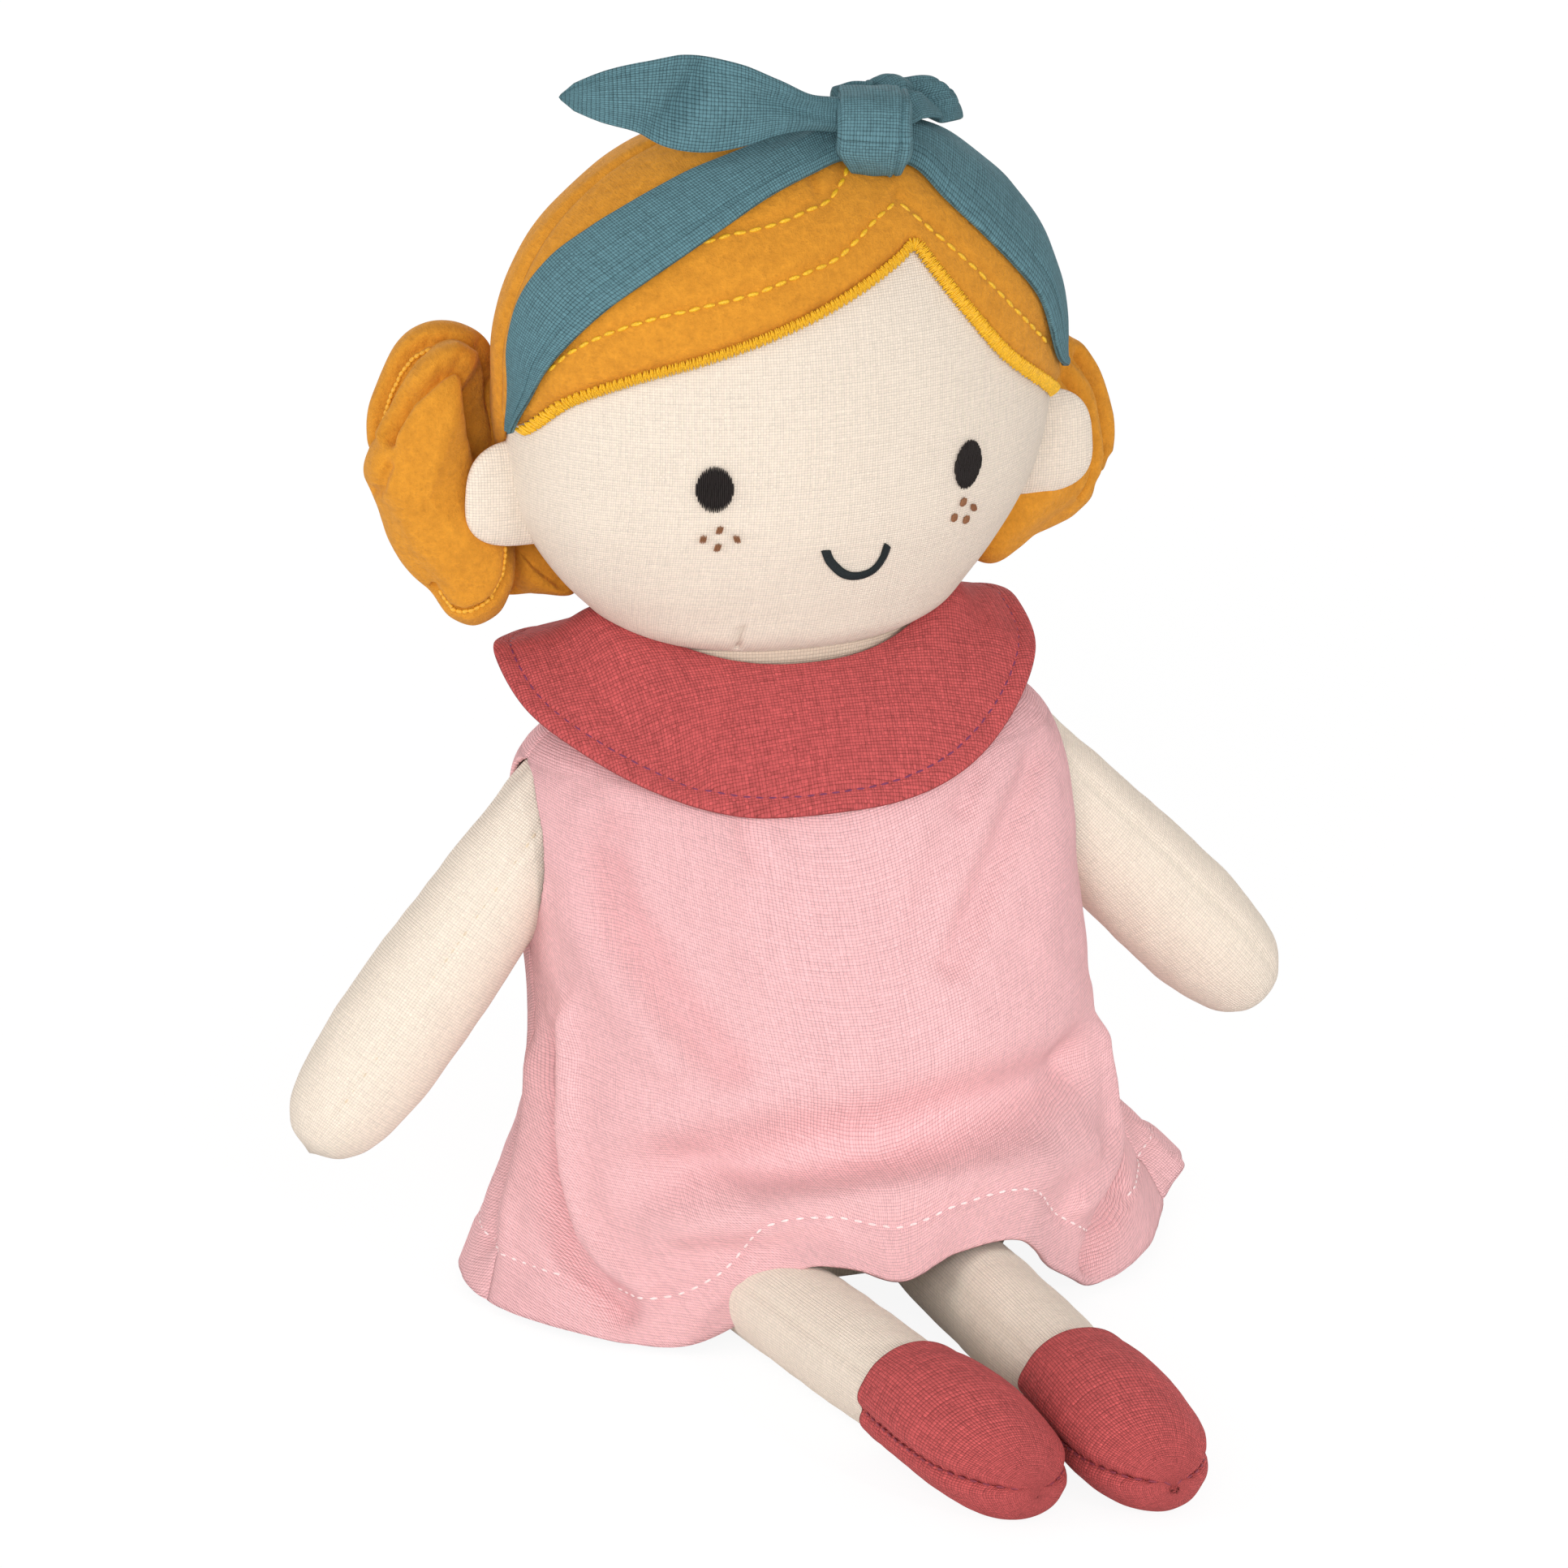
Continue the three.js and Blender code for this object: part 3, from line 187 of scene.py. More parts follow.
def folds_at(points, folds):
    """Rise or fall of the cloth at the points. Each fold is (rise, half width, course)."""
    rise = np.zeros(np.shape(points)[:-1])
    for height, width, course in folds:
        from_start = np.linalg.norm(points - np.asarray(course[0], float), axis=-1)
        rise += height * ridge(near_course(points, course), width) * smooth(0, 3 * width, from_start)
    return rise


def unit(v):
    v = np.asarray(v, float)
    return v / np.maximum(np.linalg.norm(v, axis=-1, keepdims=True), 1e-12)


# Meshes


def grid_piece(name, columns, rows, place, material, cloth=None, around=False, inside=None, thickness=0.0):
    """A piece made from a flat grid, whose points place(u, v) puts in millimetres.

    cloth(u, v) gives each point's place on the flat cloth in millimetres. around joins the first
    column to the last. The faces turn away from the point inside.
    """
    bm = bmesh.new()
    bmesh.ops.create_grid(bm, x_segments=columns, y_segments=rows, size=0.5)
    bm.verts.ensure_lookup_table()
    flat = np.array([v.co[:2] for v in bm.verts]) + 0.5
    u, v = np.clip(flat[:, 0], 0, 1), np.clip(flat[:, 1], 0, 1)
    points = np.asarray(place(u, v), float) * MM
    threads = np.asarray(cloth(u, v) if cloth else np.stack([u * 100, v * 100], -1), float) * MM
    layer = bm.loops.layers.uv.new("cloth")
    for vert in bm.verts:
        at = vert.index
        for loop in vert.link_loops:
            loop[layer].uv = threads[at]
    for vert, point in zip(bm.verts, points):
        vert.co = point
    bmesh.ops.remove_doubles(bm, verts=bm.verts, dist=1e-6 if around else 1e-8)
    bmesh.ops.dissolve_degenerate(bm, edges=bm.edges, dist=1e-8)
    bmesh.ops.recalc_face_normals(bm, faces=bm.faces)
    bm.normal_update()
    if inside is not None:
        centre = Vector(inside) * MM
        outwards = sum(
            face.normal.dot(face.calc_center_median() - centre) * face.calc_area()
            for face in bm.faces
        )
        if outwards < 0:
            bmesh.ops.reverse_faces(bm, faces=bm.faces)
    piece = new_piece(name, bm, material)
    if thickness:
        wall = piece.modifiers.new("cloth", "SOLIDIFY")
        wall.thickness = thickness * MM
        wall.offset = -1
        wall.use_rim = True
    return piece


def new_piece(name, bm, material):
    mesh = bpy.data.meshes.new(name)
    bm.to_mesh(mesh)
    bm.free()
    for polygon in mesh.polygons:
        polygon.use_smooth = True
    mesh.materials.append(material)
    piece = bpy.data.objects.new(name, mesh)
    bpy.context.scene.collection.objects.link(piece)
    return piece


def thread_bead():
    """One stitch of thread: a bead with its length along X and its height along Z."""
    bm = bmesh.new()
    bmesh.ops.create_uvsphere(bm, u_segments=8, v_segments=6, radius=1.0)
    bmesh.ops.rotate(bm, verts=bm.verts, matrix=Matrix.Rotation(math.pi / 2, 3, "Y"))
    mesh = bpy.data.meshes.new("thread_bead")
    bm.to_mesh(mesh)
    bm.free()
    return mesh


THREAD_BEAD = thread_bead()


def stitches_piece(name, stitches, material):
    """Many stitches in one piece.

    Each is (middle, direction, outwards, half length, half width, half height).
    """
    bm = bmesh.new()
    for middle, along, out, length, width, height in stitches:
        before = len(bm.verts)
        bm.from_mesh(THREAD_BEAD)
        x = Vector(along).normalized()
        z = Vector(out)
        z = (z - x * z.dot(x)).normalized()
        y = z.cross(x)
        m = Matrix((
            (x.x * length, y.x * width, z.x * height, middle[0]),
            (x.y * length, y.y * width, z.y * height, middle[1]),
            (x.z * length, y.z * width, z.z * height, middle[2]),
            (0, 0, 0, 1),
        ))
        bm.verts.ensure_lookup_table()
        for vert in bm.verts[before:]:
            vert.co = (m @ vert.co) * MM
    return new_piece(name, bm, material)


def running_stitches(points, outs, pitch, share=0.62, width=0.42, height=0.3):
    """Stitches along a line of points, with the cloth's outward directions there."""
    points, outs = np.asarray(points, float), np.asarray(outs, float)
    way = way_along(points)
    count = max(int(way[-1] / pitch), 1)
    made = []
    for k in range(count):
        at = (k + 0.5) / count * way[-1]
        middle = point_along(points, way, at)
        out = unit(point_along(outs, way, at))
        half = way[-1] / count * share / 2
        along = point_along(points, way, at + half) - point_along(points, way, at - half)
        turned = along + np.cross(out, along) * 0.08 * math.sin(k * 2.4)
        made.append((middle, turned, out, half, width, height))
    return made


def laid_on(piece, course, lift):
    """A smooth course pulled onto a piece's surface: its points and the outward directions there."""
    bm = bmesh.new()
    bm.from_mesh(piece.data)
    surface = BVHTree.FromBMesh(bm)
    bm.free()
    course = np.asarray(course, float)
    length = way_along(course)[-1]
    points, outs = [], []
    for wanted in spline(course, np.linspace(0, 1, max(int(length), 4) * 2)):
        place, out, _, _ = surface.find_nearest(Vector(wanted) * MM)
        points.append(np.array(place) / MM + np.array(out) * lift)
        outs.append(np.array(out))
    return np.array(points), np.array(outs)


# Materials


def add(tree, kind, *inputs, **settings):
    """A shader node with its settings, and its inputs linked or set in order. None leaves one alone."""
    made = tree.nodes.new(kind)
    for key, value in settings.items():
        setattr(made, key, value)
    for socket, value in zip(made.inputs, inputs):
        if value is None:
            continue
        if isinstance(value, bpy.types.NodeSocket):
            tree.links.new(value, socket)
        else:
            socket.default_value = value
    return made


def set_values(node, values):
    for label, value in values.items():
        node.inputs[label].default_value = value


def math_node(tree, operation, *inputs):
    return add(tree, "ShaderNodeMath", *inputs, operation=operation).outputs[0]


def weighted(tree, *pairs):
    """The sum of values, each given with its weight."""
    total = None
    for pair in pairs:
        part = math_node(tree, "MULTIPLY", *pair)
        total = part if total is None else math_node(tree, "ADD", total, part)
    return total


def new_group(name, inputs, outputs):
    group = bpy.data.node_groups.new(name, "ShaderNodeTree")
    for label, kind, value in inputs:
        socket = group.interface.new_socket(label, in_out="INPUT", socket_type=kind)
        if value is not None:
            socket.default_value = value
    for label, kind in outputs:
        group.interface.new_socket(label, in_out="OUTPUT", socket_type=kind)
    return group, group.nodes.new("NodeGroupInput"), group.nodes.new("NodeGroupOutput")


def scaled_noise(tree, vector, scale, detail=2.0, roughness=0.5):
    made = add(tree, "ShaderNodeTexNoise", vector)
    set_values(made, {"Scale": scale, "Detail": detail, "Roughness": roughness})
    return made.outputs["Fac"]


def linen_weave_group():
    """Plain weave of uneven threads. Height is their bump, and Shade is each thread's own tone."""
    tree, given, out = new_group(
        "linen_weave",
        [("Cloth", "NodeSocketVector", None), ("Pitch", "NodeSocketFloat", 0.00055),
         ("Unevenness", "NodeSocketFloat", 0.5)],
        [("Height", "NodeSocketFloat"), ("Shade", "NodeSocketFloat")],
    )
    cloth, pitch, unevenness = given.outputs[:3]
    counted = add(tree, "ShaderNodeVectorMath", cloth, operation="SCALE")
    tree.links.new(math_node(tree, "DIVIDE", 1.0, pitch), counted.inputs["Scale"])
    place = counted.outputs[0]
    streaks, wandering = [], []
    for stretch in ((1.0, 0.06, 1.0), (0.06, 1.0, 1.0)):
        along = add(tree, "ShaderNodeVectorMath", place, stretch, operation="MULTIPLY").outputs[0]
        streak = scaled_noise(tree, along, 0.8, 2.0)
        streaks.append(streak)
        wander = math_node(tree, "MULTIPLY", math_node(tree, "SUBTRACT", streak, 0.5), unevenness)
        wandering.append(math_node(tree, "MULTIPLY", wander, 3.0))
    parts = add(tree, "ShaderNodeSeparateXYZ", place)
    across = math_node(tree, "ADD", parts.outputs[0], wandering[0])
    upward = math_node(tree, "ADD", parts.outputs[1], wandering[1])
    warp = math_node(tree, "SINE", math_node(tree, "MULTIPLY", across, math.pi))
    weft = math_node(tree, "SINE", math_node(tree, "MULTIPLY", upward, math.pi))
    crossing = math_node(tree, "MULTIPLY", warp, weft)
    bump = math_node(tree, "POWER", math_node(tree, "ABSOLUTE", crossing), 0.55)
    which = math_node(tree, "GREATER_THAN", crossing, 0.0)
    thread = add(tree, "ShaderNodeMix", which, data_type="FLOAT")
    tree.links.new(streaks[0], thread.inputs["A"])
    tree.links.new(streaks[1], thread.inputs["B"])
    whole = add(
        tree, "ShaderNodeCombineXYZ",
        math_node(tree, "FLOOR", across), math_node(tree, "FLOOR", upward),
    )
    chance = add(tree, "ShaderNodeTexWhiteNoise", whole.outputs[0], noise_dimensions="2D")
    tone = weighted(tree, (thread.outputs["Result"], 0.75), (chance.outputs["Value"], 0.25))
    height = math_node(tree, "MULTIPLY", bump, math_node(tree, "ADD", tone, 0.5))
    tree.links.new(height, out.inputs["Height"])
    tree.links.new(tone, out.inputs["Shade"])
    return tree


def felt_nap_group():
    """Pressed wool: matted fibres in all directions, in clumps, with a slow mottle."""
    tree, given, out = new_group(
        "felt_nap",
        [("Place", "NodeSocketVector", None)],
        [("Height", "NodeSocketFloat"), ("Shade", "NodeSocketFloat")],
    )
    place = given.outputs[0]
    matted = None
    for turn, seed, scale in ((0.5, 0.0, 1500.0), (2.1, 3.0, 1900.0), (3.6, 1.0, 1200.0)):
        turned = add(tree, "ShaderNodeMapping", place)
        set_values(turned, {"Rotation": (turn, turn * 0.7, seed), "Scale": (1.0, 0.14, 1.0)})
        fibre = scaled_noise(tree, turned.outputs[0], scale, 3.0, 0.65)
        matted = fibre if matted is None else math_node(tree, "MAXIMUM", matted, fibre)
    clumps = scaled_noise(tree, place, 520.0, 4.0, 0.65)
    mottle = scaled_noise(tree, place, 150.0, 3.0, 0.6)
    height = weighted(tree, (matted, 0.6), (clumps, 0.6))
    shade = weighted(tree, (matted, 0.4), (clumps, 0.42), (mottle, 0.18))
    tree.links.new(height, out.inputs["Height"])
    tree.links.new(shade, out.inputs["Shade"])
    return tree


LINEN_WEAVE = linen_weave_group()
FELT_NAP = felt_nap_group()


def new_material(name, roughness, sheen, sheen_tint, shine=0.2):
    material = bpy.data.materials.new(name)
    material.use_nodes = True
    tree = material.node_tree
    shader = tree.nodes["Principled BSDF"]
    set_values(shader, {
        "Roughness": roughness,
        "Sheen Weight": sheen,
        "Sheen Roughness": 0.5,
        "Sheen Tint": (*sheen_tint, 1.0),
        "Specular IOR Level": shine,
    })
    return material, tree, shader


def raise_surface(tree, shader, height, strength, distance):
    relief = add(tree, "ShaderNodeBump")
    set_values(relief, {"Strength": strength, "Distance": distance})
    tree.links.new(height, relief.inputs["Height"])
    tree.links.new(relief.outputs[0], shader.inputs["Normal"])


def tones(tree, shade, colour, spread, dark_shift=1.0):
    """A colour ramp from a darker to a paler tone of one colour.

    dark_shift below 1 takes green and blue down in the darker tone, which makes it warmer.
    """
    ramp = tree.nodes.new("ShaderNodeValToRGB")
    tree.links.new(shade, ramp.inputs[0])
    low, high = ramp.color_ramp.elements
    low.position, high.position = 0.25, 0.75
    shifts = (1, dark_shift, dark_shift)
    low.color = (*(max(c * (1 - spread) * shift, 0) for c, shift in zip(colour, shifts)), 1)
    high.color = (*(min(c * (1 + spread * 0.7), 1) for c in colour), 1)
    return ramp.outputs[0]


def linen_material(name, colour, pitch, unevenness, spread, depth, bump=0.00022):
    """Woven linen: pitch and bump in metres, and depth for how much darker the gaps between the threads are
    painted, as shade in the weave.
    """
    material, tree, shader = new_material(name, 0.85, 0.12, [min(c * 1.3 + 0.1, 1) for c in colour])
    cloth = tree.nodes.new("ShaderNodeUVMap")
    cloth.uv_map = "cloth"
    weave = tree.nodes.new("ShaderNodeGroup")
    weave.node_tree = LINEN_WEAVE
    tree.links.new(cloth.outputs[0], weave.inputs["Cloth"])
    set_values(weave, {"Pitch": pitch, "Unevenness": unevenness})
    thread = tones(tree, weave.outputs["Shade"], colour, spread)
    # Painted shade: where the weave's height is low, in the gaps between the threads, the colour is made
    # darker.
    gaps = add(tree, "ShaderNodeMapRange", weave.outputs["Height"])
    set_values(gaps, {"From Min": 0.0, "From Max": 0.55, "To Min": 1 - depth, "To Max": 1.0})
    mixed = add(tree, "ShaderNodeMix", data_type="RGBA", blend_type="MULTIPLY")
    mixed.inputs["Factor"].default_value = 1.0
    tree.links.new(thread, mixed.inputs["A"])
    tree.links.new(gaps.outputs[0], mixed.inputs["B"])
    tree.links.new(mixed.outputs["Result"], shader.inputs["Base Color"])
    raise_surface(tree, shader, weave.outputs["Height"], 0.7, bump)
    return material


def felt_material(name, colour):
    material, tree, shader = new_material(name, 0.95, 0.22, (1.0, 0.66, 0.3))
    place = tree.nodes.new("ShaderNodeTexCoord")
    nap = tree.nodes.new("ShaderNodeGroup")
    nap.node_tree = FELT_NAP
    tree.links.new(place.outputs["Object"], nap.inputs["Place"])
    shade = tones(tree, nap.outputs["Shade"], colour, 0.38, 0.88)
    tree.links.new(shade, shader.inputs["Base Color"])
    raise_surface(tree, shader, nap.outputs["Height"], 0.85, 0.0009)
    return material


def thread_material(name, colour, roughness, spread=0.2, sheen=0.2, shine=0.4):
    tint = [min(c * 1.4 + 0.05, 1) for c in colour]
    material, tree, shader = new_material(name, roughness, sheen, tint, shine)
    place = tree.nodes.new("ShaderNodeTexCoord")
    ply = scaled_noise(tree, place.outputs["Object"], 3000.0, 2.0)
    tree.links.new(tones(tree, ply, colour, spread), shader.inputs["Base Color"])
    raise_surface(tree, shader, ply, 0.4, 0.0001)
    return material


LINEN = linen_material("undyed_linen", (0.89, 0.77, 0.65), 0.00056, 0.22, 0.09, 0.3)
# The neck's linen is the undyed linen painted darker, as the shade that falls under the chin.
SHADED_NECK_LINEN = linen_material("painted_shade_neck_linen", (0.67, 0.53, 0.42), 0.00056, 0.22, 0.09, 0.3)
TEAL = linen_material("teal_linen", (0.122, 0.25, 0.288), 0.00064, 0.22, 0.2, 0.78, 0.0003)
RED = linen_material("red_linen", (0.56, 0.096, 0.096), 0.00064, 0.3, 0.3, 0.62, 0.0003)
PINK = linen_material("pink_linen", (0.908, 0.512, 0.528), 0.0006, 0.22, 0.12, 0.42, 0.00026)
FELT = felt_material("mustard_felt", (0.69, 0.29, 0.027))
GOLD = thread_material("gold_thread", (0.93, 0.47, 0.015), 0.38, 0.35)
DULL_GOLD = thread_material("dull_gold_thread", (0.88, 0.41, 0.03), 0.5, 0.3)
BLACK = thread_material("black_thread", (0.017, 0.013, 0.012), 0.5, 0.2, 0.04, 0.18)
INK = thread_material("blue_black_thread", (0.016, 0.021, 0.023), 0.6, 0.2, 0.03, 0.15)
BROWN = thread_material("brown_thread", (0.27, 0.115, 0.05), 0.6)
CREAM_THREAD = thread_material("cream_thread", (0.74, 0.60, 0.44), 0.6)
PALE_THREAD = thread_material("pale_pink_thread", (0.95, 0.72, 0.71), 0.6)
RED_THREAD = thread_material("dark_red_thread", (0.22, 0.03, 0.05), 0.6)
PLUM_THREAD = thread_material("plum_thread", (0.17, 0.03, 0.09), 0.6, 0.2, 0.08)

# Sizes shared with the solids, in millimetres

GAP = 0.3
CLOTH_WALL = 1.0
FELT_WALL, FELT_SHEET = 1.2, 0.9
LIMB_CLOTH, SHOE_CLOTH, DRESS_CLOTH = 0.8, 0.9, 1.1
TORSO_TOP = 119.5
NECK_Y = 26.0
NECK_TOP = 131.0
HEAD_BASE = np.array([0.0, NECK_Y, 131.3])
HEAD_WIDTH, HEAD_DEPTH, HEAD_HEIGHT = 56.0, 38.3, 102.0
WIDEST = 0.532
HEAD_PROFILE = np.array([
    (0.5, 0), (0.61, 0.047), (0.755, 0.128), (0.92, 0.278), (0.993, 0.43), (1, WIDEST), (0.985, 0.636),
    (0.925, 0.735), (0.825, 0.824), (0.69, 0.896), (0.52, 0.953), (0.3, 0.989), (0, 1),
]) * (HEAD_WIDTH, HEAD_HEIGHT)
HAIRLINE = np.array([
    (-0.996, 0.463), (-0.888, 0.544), (-0.705, 0.601), (-0.502, 0.639), (-0.284, 0.679), (-0.079, 0.721),
    (0.111, 0.767), (0.246, 0.804), (0.309, 0.821), (0.37, 0.777), (0.486, 0.693), (0.657, 0.585),
    (0.868, 0.493), (0.943, 0.457),
]) * (HEAD_WIDTH, HEAD_HEIGHT)
FELT_TOP = GAP + FELT_WALL
FULLER_CHEEK = 2.3

# Head


def head_row(t, outset):
    """The head's half width, half depth and height at a share of its profile, moved out by an outset."""
    step = 1e-4
    place = spline(HEAD_PROFILE, t, uniform=True)
    ahead = spline(HEAD_PROFILE, np.clip(t + step, 0, 1), uniform=True)
    behind = spline(HEAD_PROFILE, np.clip(t - step, 0, 1), uniform=True)
    way = unit(ahead - behind)
    half_x = np.maximum(place[..., 0] + outset * way[..., 1], 0)
    half_y = np.maximum(place[..., 0] * HEAD_DEPTH / HEAD_WIDTH + outset * way[..., 1], 0)
    return half_x, half_y, place[..., 1] - outset * way[..., 0]


def head_at(t, turn, outset):
    """A point on the head: share of the profile from the neck to the crown, and turn from the face.

    The lower cheek on the doll's right is a little fuller than the left one.
    """
    x, y, z = head_row(t, outset)
    x = x + FULLER_CHEEK * ridge(t - 0.2, 0.09) * smooth(-0.5, -1.0, np.sin(turn))
    return HEAD_BASE + np.stack([x * np.sin(turn), -y * np.cos(turn), z], -1)


SHARES = np.linspace(0, 1, 801)
PROFILE_X, PROFILE_DEPTH, PROFILE_Z = head_row(SHARES, 0.0)
PROFILE_WAY = way_along(np.stack([PROFILE_X, PROFILE_Z], -1))
HAIRLINE_FINE = spline(HAIRLINE, np.linspace(0, 1, 300), uniform=True)


def hairline_over(count):
    """Turns across the face, and the share of the profile at which the hairline crosses each."""
    turns = np.linspace(-QUARTER, QUARTER, count)
    shares = []
    for turn in turns:
        line = np.interp(PROFILE_X * math.sin(turn), HAIRLINE_FINE[:, 0], HAIRLINE_FINE[:, 1])
        shares.append(SHARES[int(np.argmax(PROFILE_Z - line > 0))])
    return turns, np.array(shares)


def head_cloth(t, turn):
    """Where a point of the head lies on the flat cloth, in millimetres."""
    return np.stack([np.interp(t, SHARES, PROFILE_X) * turn, np.interp(t, SHARES, PROFILE_WAY)], -1)


def head_section(z, outset):
    """Half width and half depth at a height above the head's base."""
    x, y, height = head_row(SHARES, outset)
    return np.interp(z, height, x, right=0), np.interp(z, height, y, right=0)


def face_point(x, z, outset):
    """A point on the face, given by its place across and above the head's base."""
    half, deep = head_section(z, outset)
    side = np.clip(np.abs(x) / np.maximum(half, 1e-6), 0, 1)
    return HEAD_BASE + np.stack([x, -deep * np.sqrt(1 - side**2), z], -1)


def face_normal(x, z):
    e = 0.4
    across = face_point(x + e, z, 0) - face_point(x - e, z, 0)
    up = face_point(x, z + e, 0) - face_point(x, z - e, 0)
    return unit(np.cross(across, up))


def on_head(shares, outset):
    """Points on the head in the directions of places given in shares of its sizes."""
    shares = np.asarray(shares, float)
    middle = WIDEST * HEAD_HEIGHT
    way = shares * (HEAD_WIDTH, HEAD_DEPTH, HEAD_HEIGHT) - (0, 0, middle)
    low, high = np.zeros(way.shape[:-1]), np.full(way.shape[:-1], 2.0)
    for _ in range(34):
        k = (low + high) / 2
        z = middle + k * way[..., 2]
        half, deep = head_section(z, 0.0)
        within = (half > 0) & ((k * way[..., 0] / np.maximum(half, 1e-9)) ** 2
                               + (k * way[..., 1] / np.maximum(deep, 1e-9)) ** 2 < 1)
        low, high = np.where(within, k, low), np.where(within, high, k)
    base = HEAD_BASE + (0, 0, middle)
    surface = base + way * low[..., None]
    return surface + head_normal(surface) * np.asarray(outset)[..., None]


def head_normal(points):
    """The way out of the head at points near its surface."""
    from_base = points - HEAD_BASE
    step = 0.3
    z = np.clip(from_base[..., 2], 0.5, HEAD_HEIGHT - 0.02)
    half, deep = np.interp(z, PROFILE_Z, PROFILE_X), np.interp(z, PROFILE_Z, PROFILE_DEPTH)
    above = np.interp(z + step, PROFILE_Z, PROFILE_X, right=0)
    slope = (above - np.interp(z - step, PROFILE_Z, PROFILE_X)) / (2 * step)
    return unit(np.stack([
        from_base[..., 0] / half**2, from_base[..., 1] / deep**2, -slope / half,
    ], -1))


HEAD_MIDDLE = HEAD_BASE + (0, 0, HEAD_HEIGHT / 2)
STITCH_LINES = [
    [(-52.6, 60.9), (-49.6, 65.0), (-44.4, 69.1), (-36.2, 72.9), (-26.0, 75.7), (-16.8, 77.9), (-8.6, 80.5),
     (-0.1, 83.1), (5.7, 86.5), (9.9, 89.1), (14.7, 91.2)],
    [(-24.9, 86.8), (-19.5, 88.2), (-11.5, 89.6), (-2.9, 91.9), (0.7, 92.9), (4.1, 95.2), (7.1, 97.8)],
    [(15.6, 91.1), (21.8, 85.4), (30.0, 77.6), (39.2, 68.0), (48.6, 58.5)],
]
FELT_PINCH = [(-0.9, 97.3), (-0.9, 94.1)]
CHIN_DART = [(-15.6, 7.5), (-14.9, 2.2)]


def side_seam(t):
    """How far round from the middle of the face the side seams lie. They run back below the ears."""
    return QUARTER + 0.42 * (1 - smooth(0.2, 0.38, t))


def seam_dip(turn, t, depth):
    """How far the cloth is drawn in beside the side seams."""
    return -depth * ridge(turn_between(turn, 0) - side_seam(t), 0.05)


def make_face():
    turns, tops = hairline_over(181)

    def shares(u, v):
        at_side = v * (tops[0] + (tops[-1] - tops[0]) * u)
        turn = (2 * u - 1) * side_seam(at_side)
        return v * np.interp(turn, turns, np.minimum(tops + 0.035, 1)), turn

    def place(u, v):
        t, turn = shares(u, v)
        base = head_at(t, turn, 0.0)
        rel = base - HEAD_BASE
        lift = seam_dip(turn, t, 0.9) + 0.3 * wobble(base, 26.0) + 0.1 * wobble(base, 7.0, 5.0)
        puckers = 0.25 * np.sin(t * 260) * ridge(np.abs(turn) - side_seam(t), 0.10)
        under_hair = 0.4 * ridge(np.interp(turn, turns, tops) - t, 0.02)
        dart = 1.1 * ridge(distance_to_line(rel[..., 0], rel[..., 2], CHIN_DART), 0.6)
        neck_seam = 0.5 * ridge(rel[..., 2], 1.3) - 0.9 * ridge(rel[..., 2] - 5.0, 3.4)
        lift = lift + puckers - under_hair - dart - neck_seam
        return base + head_normal(base) * lift[..., None]

    def cloth(u, v):
        return head_cloth(*shares(u, v))

    piece = grid_piece("face", 180, 130, place, LINEN, cloth, inside=HEAD_MIDDLE, thickness=CLOTH_WALL)
    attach(piece, "head")
    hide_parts("face_panel", "head_stuffing")


def make_front_hair():
    turns, tops = hairline_over(241)

    def shares(u, v):
        turn = (2 * u - 1) * QUARTER
        low = np.interp(turn, turns, tops)
        return low + v * (1 - low), turn

    def place(u, v):
        t, turn = shares(u, v)
        base = head_at(t, turn, 0.0)
        rel = base - HEAD_BASE
        lift = FELT_TOP + seam_dip(turn, t, 1.0) + 0.3 * wobble(base, 22.0, 9.0)
        for line in STITCH_LINES:
            near = distance_to_line(rel[..., 0], rel[..., 2], line)
            lift = lift - 0.45 * ridge(near, 0.9) + 0.18 * ridge(near - 3.6, 2.2)
        lift = lift - 0.9 * ridge(distance_to_line(rel[..., 0], rel[..., 2], FELT_PINCH), 1.0)
        lift = lift - 0.9 * ridge(t - np.interp(turn, turns, tops), 0.012)
        return base + head_normal(base) * lift[..., None]

    piece = grid_piece("front_hair", 220, 120, place, FELT, inside=HEAD_MIDDLE, thickness=FELT_SHEET)
    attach(piece, "head")
    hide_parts("hair_front")


def make_back_hair():
    def place(u, t):
        turn = side_seam(t) + u * 2 * (math.pi - side_seam(t))
        base = head_at(t, turn, 0.0)
        low = 1 - smooth(0.2, 0.38, t)
        lift = FELT_TOP + seam_dip(turn, t, 1.1 + 0.5 * low)
        lift = lift + 0.5 * wobble(base, 24.0, 2.0) + 0.15 * wobble(base, 8.0, 4.0)
        lift = lift - 1.0 * ridge(base[..., 2] - HEAD_BASE[2], 2.0)
        from_middle_seam = (u - 0.5) * math.pi * np.interp(t, SHARES, PROFILE_X)
        lift = lift - 0.8 * ridge(from_middle_seam, 1.3)
        return base + head_normal(base) * lift[..., None]

    piece = grid_piece("back_hair", 200, 130, place, FELT, inside=HEAD_MIDDLE, thickness=FELT_SHEET)
    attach(piece, "head")
    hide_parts("hair_back")


SATIN_PITCH = 0.3


def satin_places(line):
    """Even places along a line on the face: each one's number, point and direction."""
    way = way_along(line)
    count = int(way[-1] / SATIN_PITCH)
    for k in range(count + 1):
        at = way[-1] * k / count
        ahead = unit(point_along(line, way, at + 0.5) - point_along(line, way, at - 0.5))
        yield k, point_along(line, way, at), ahead


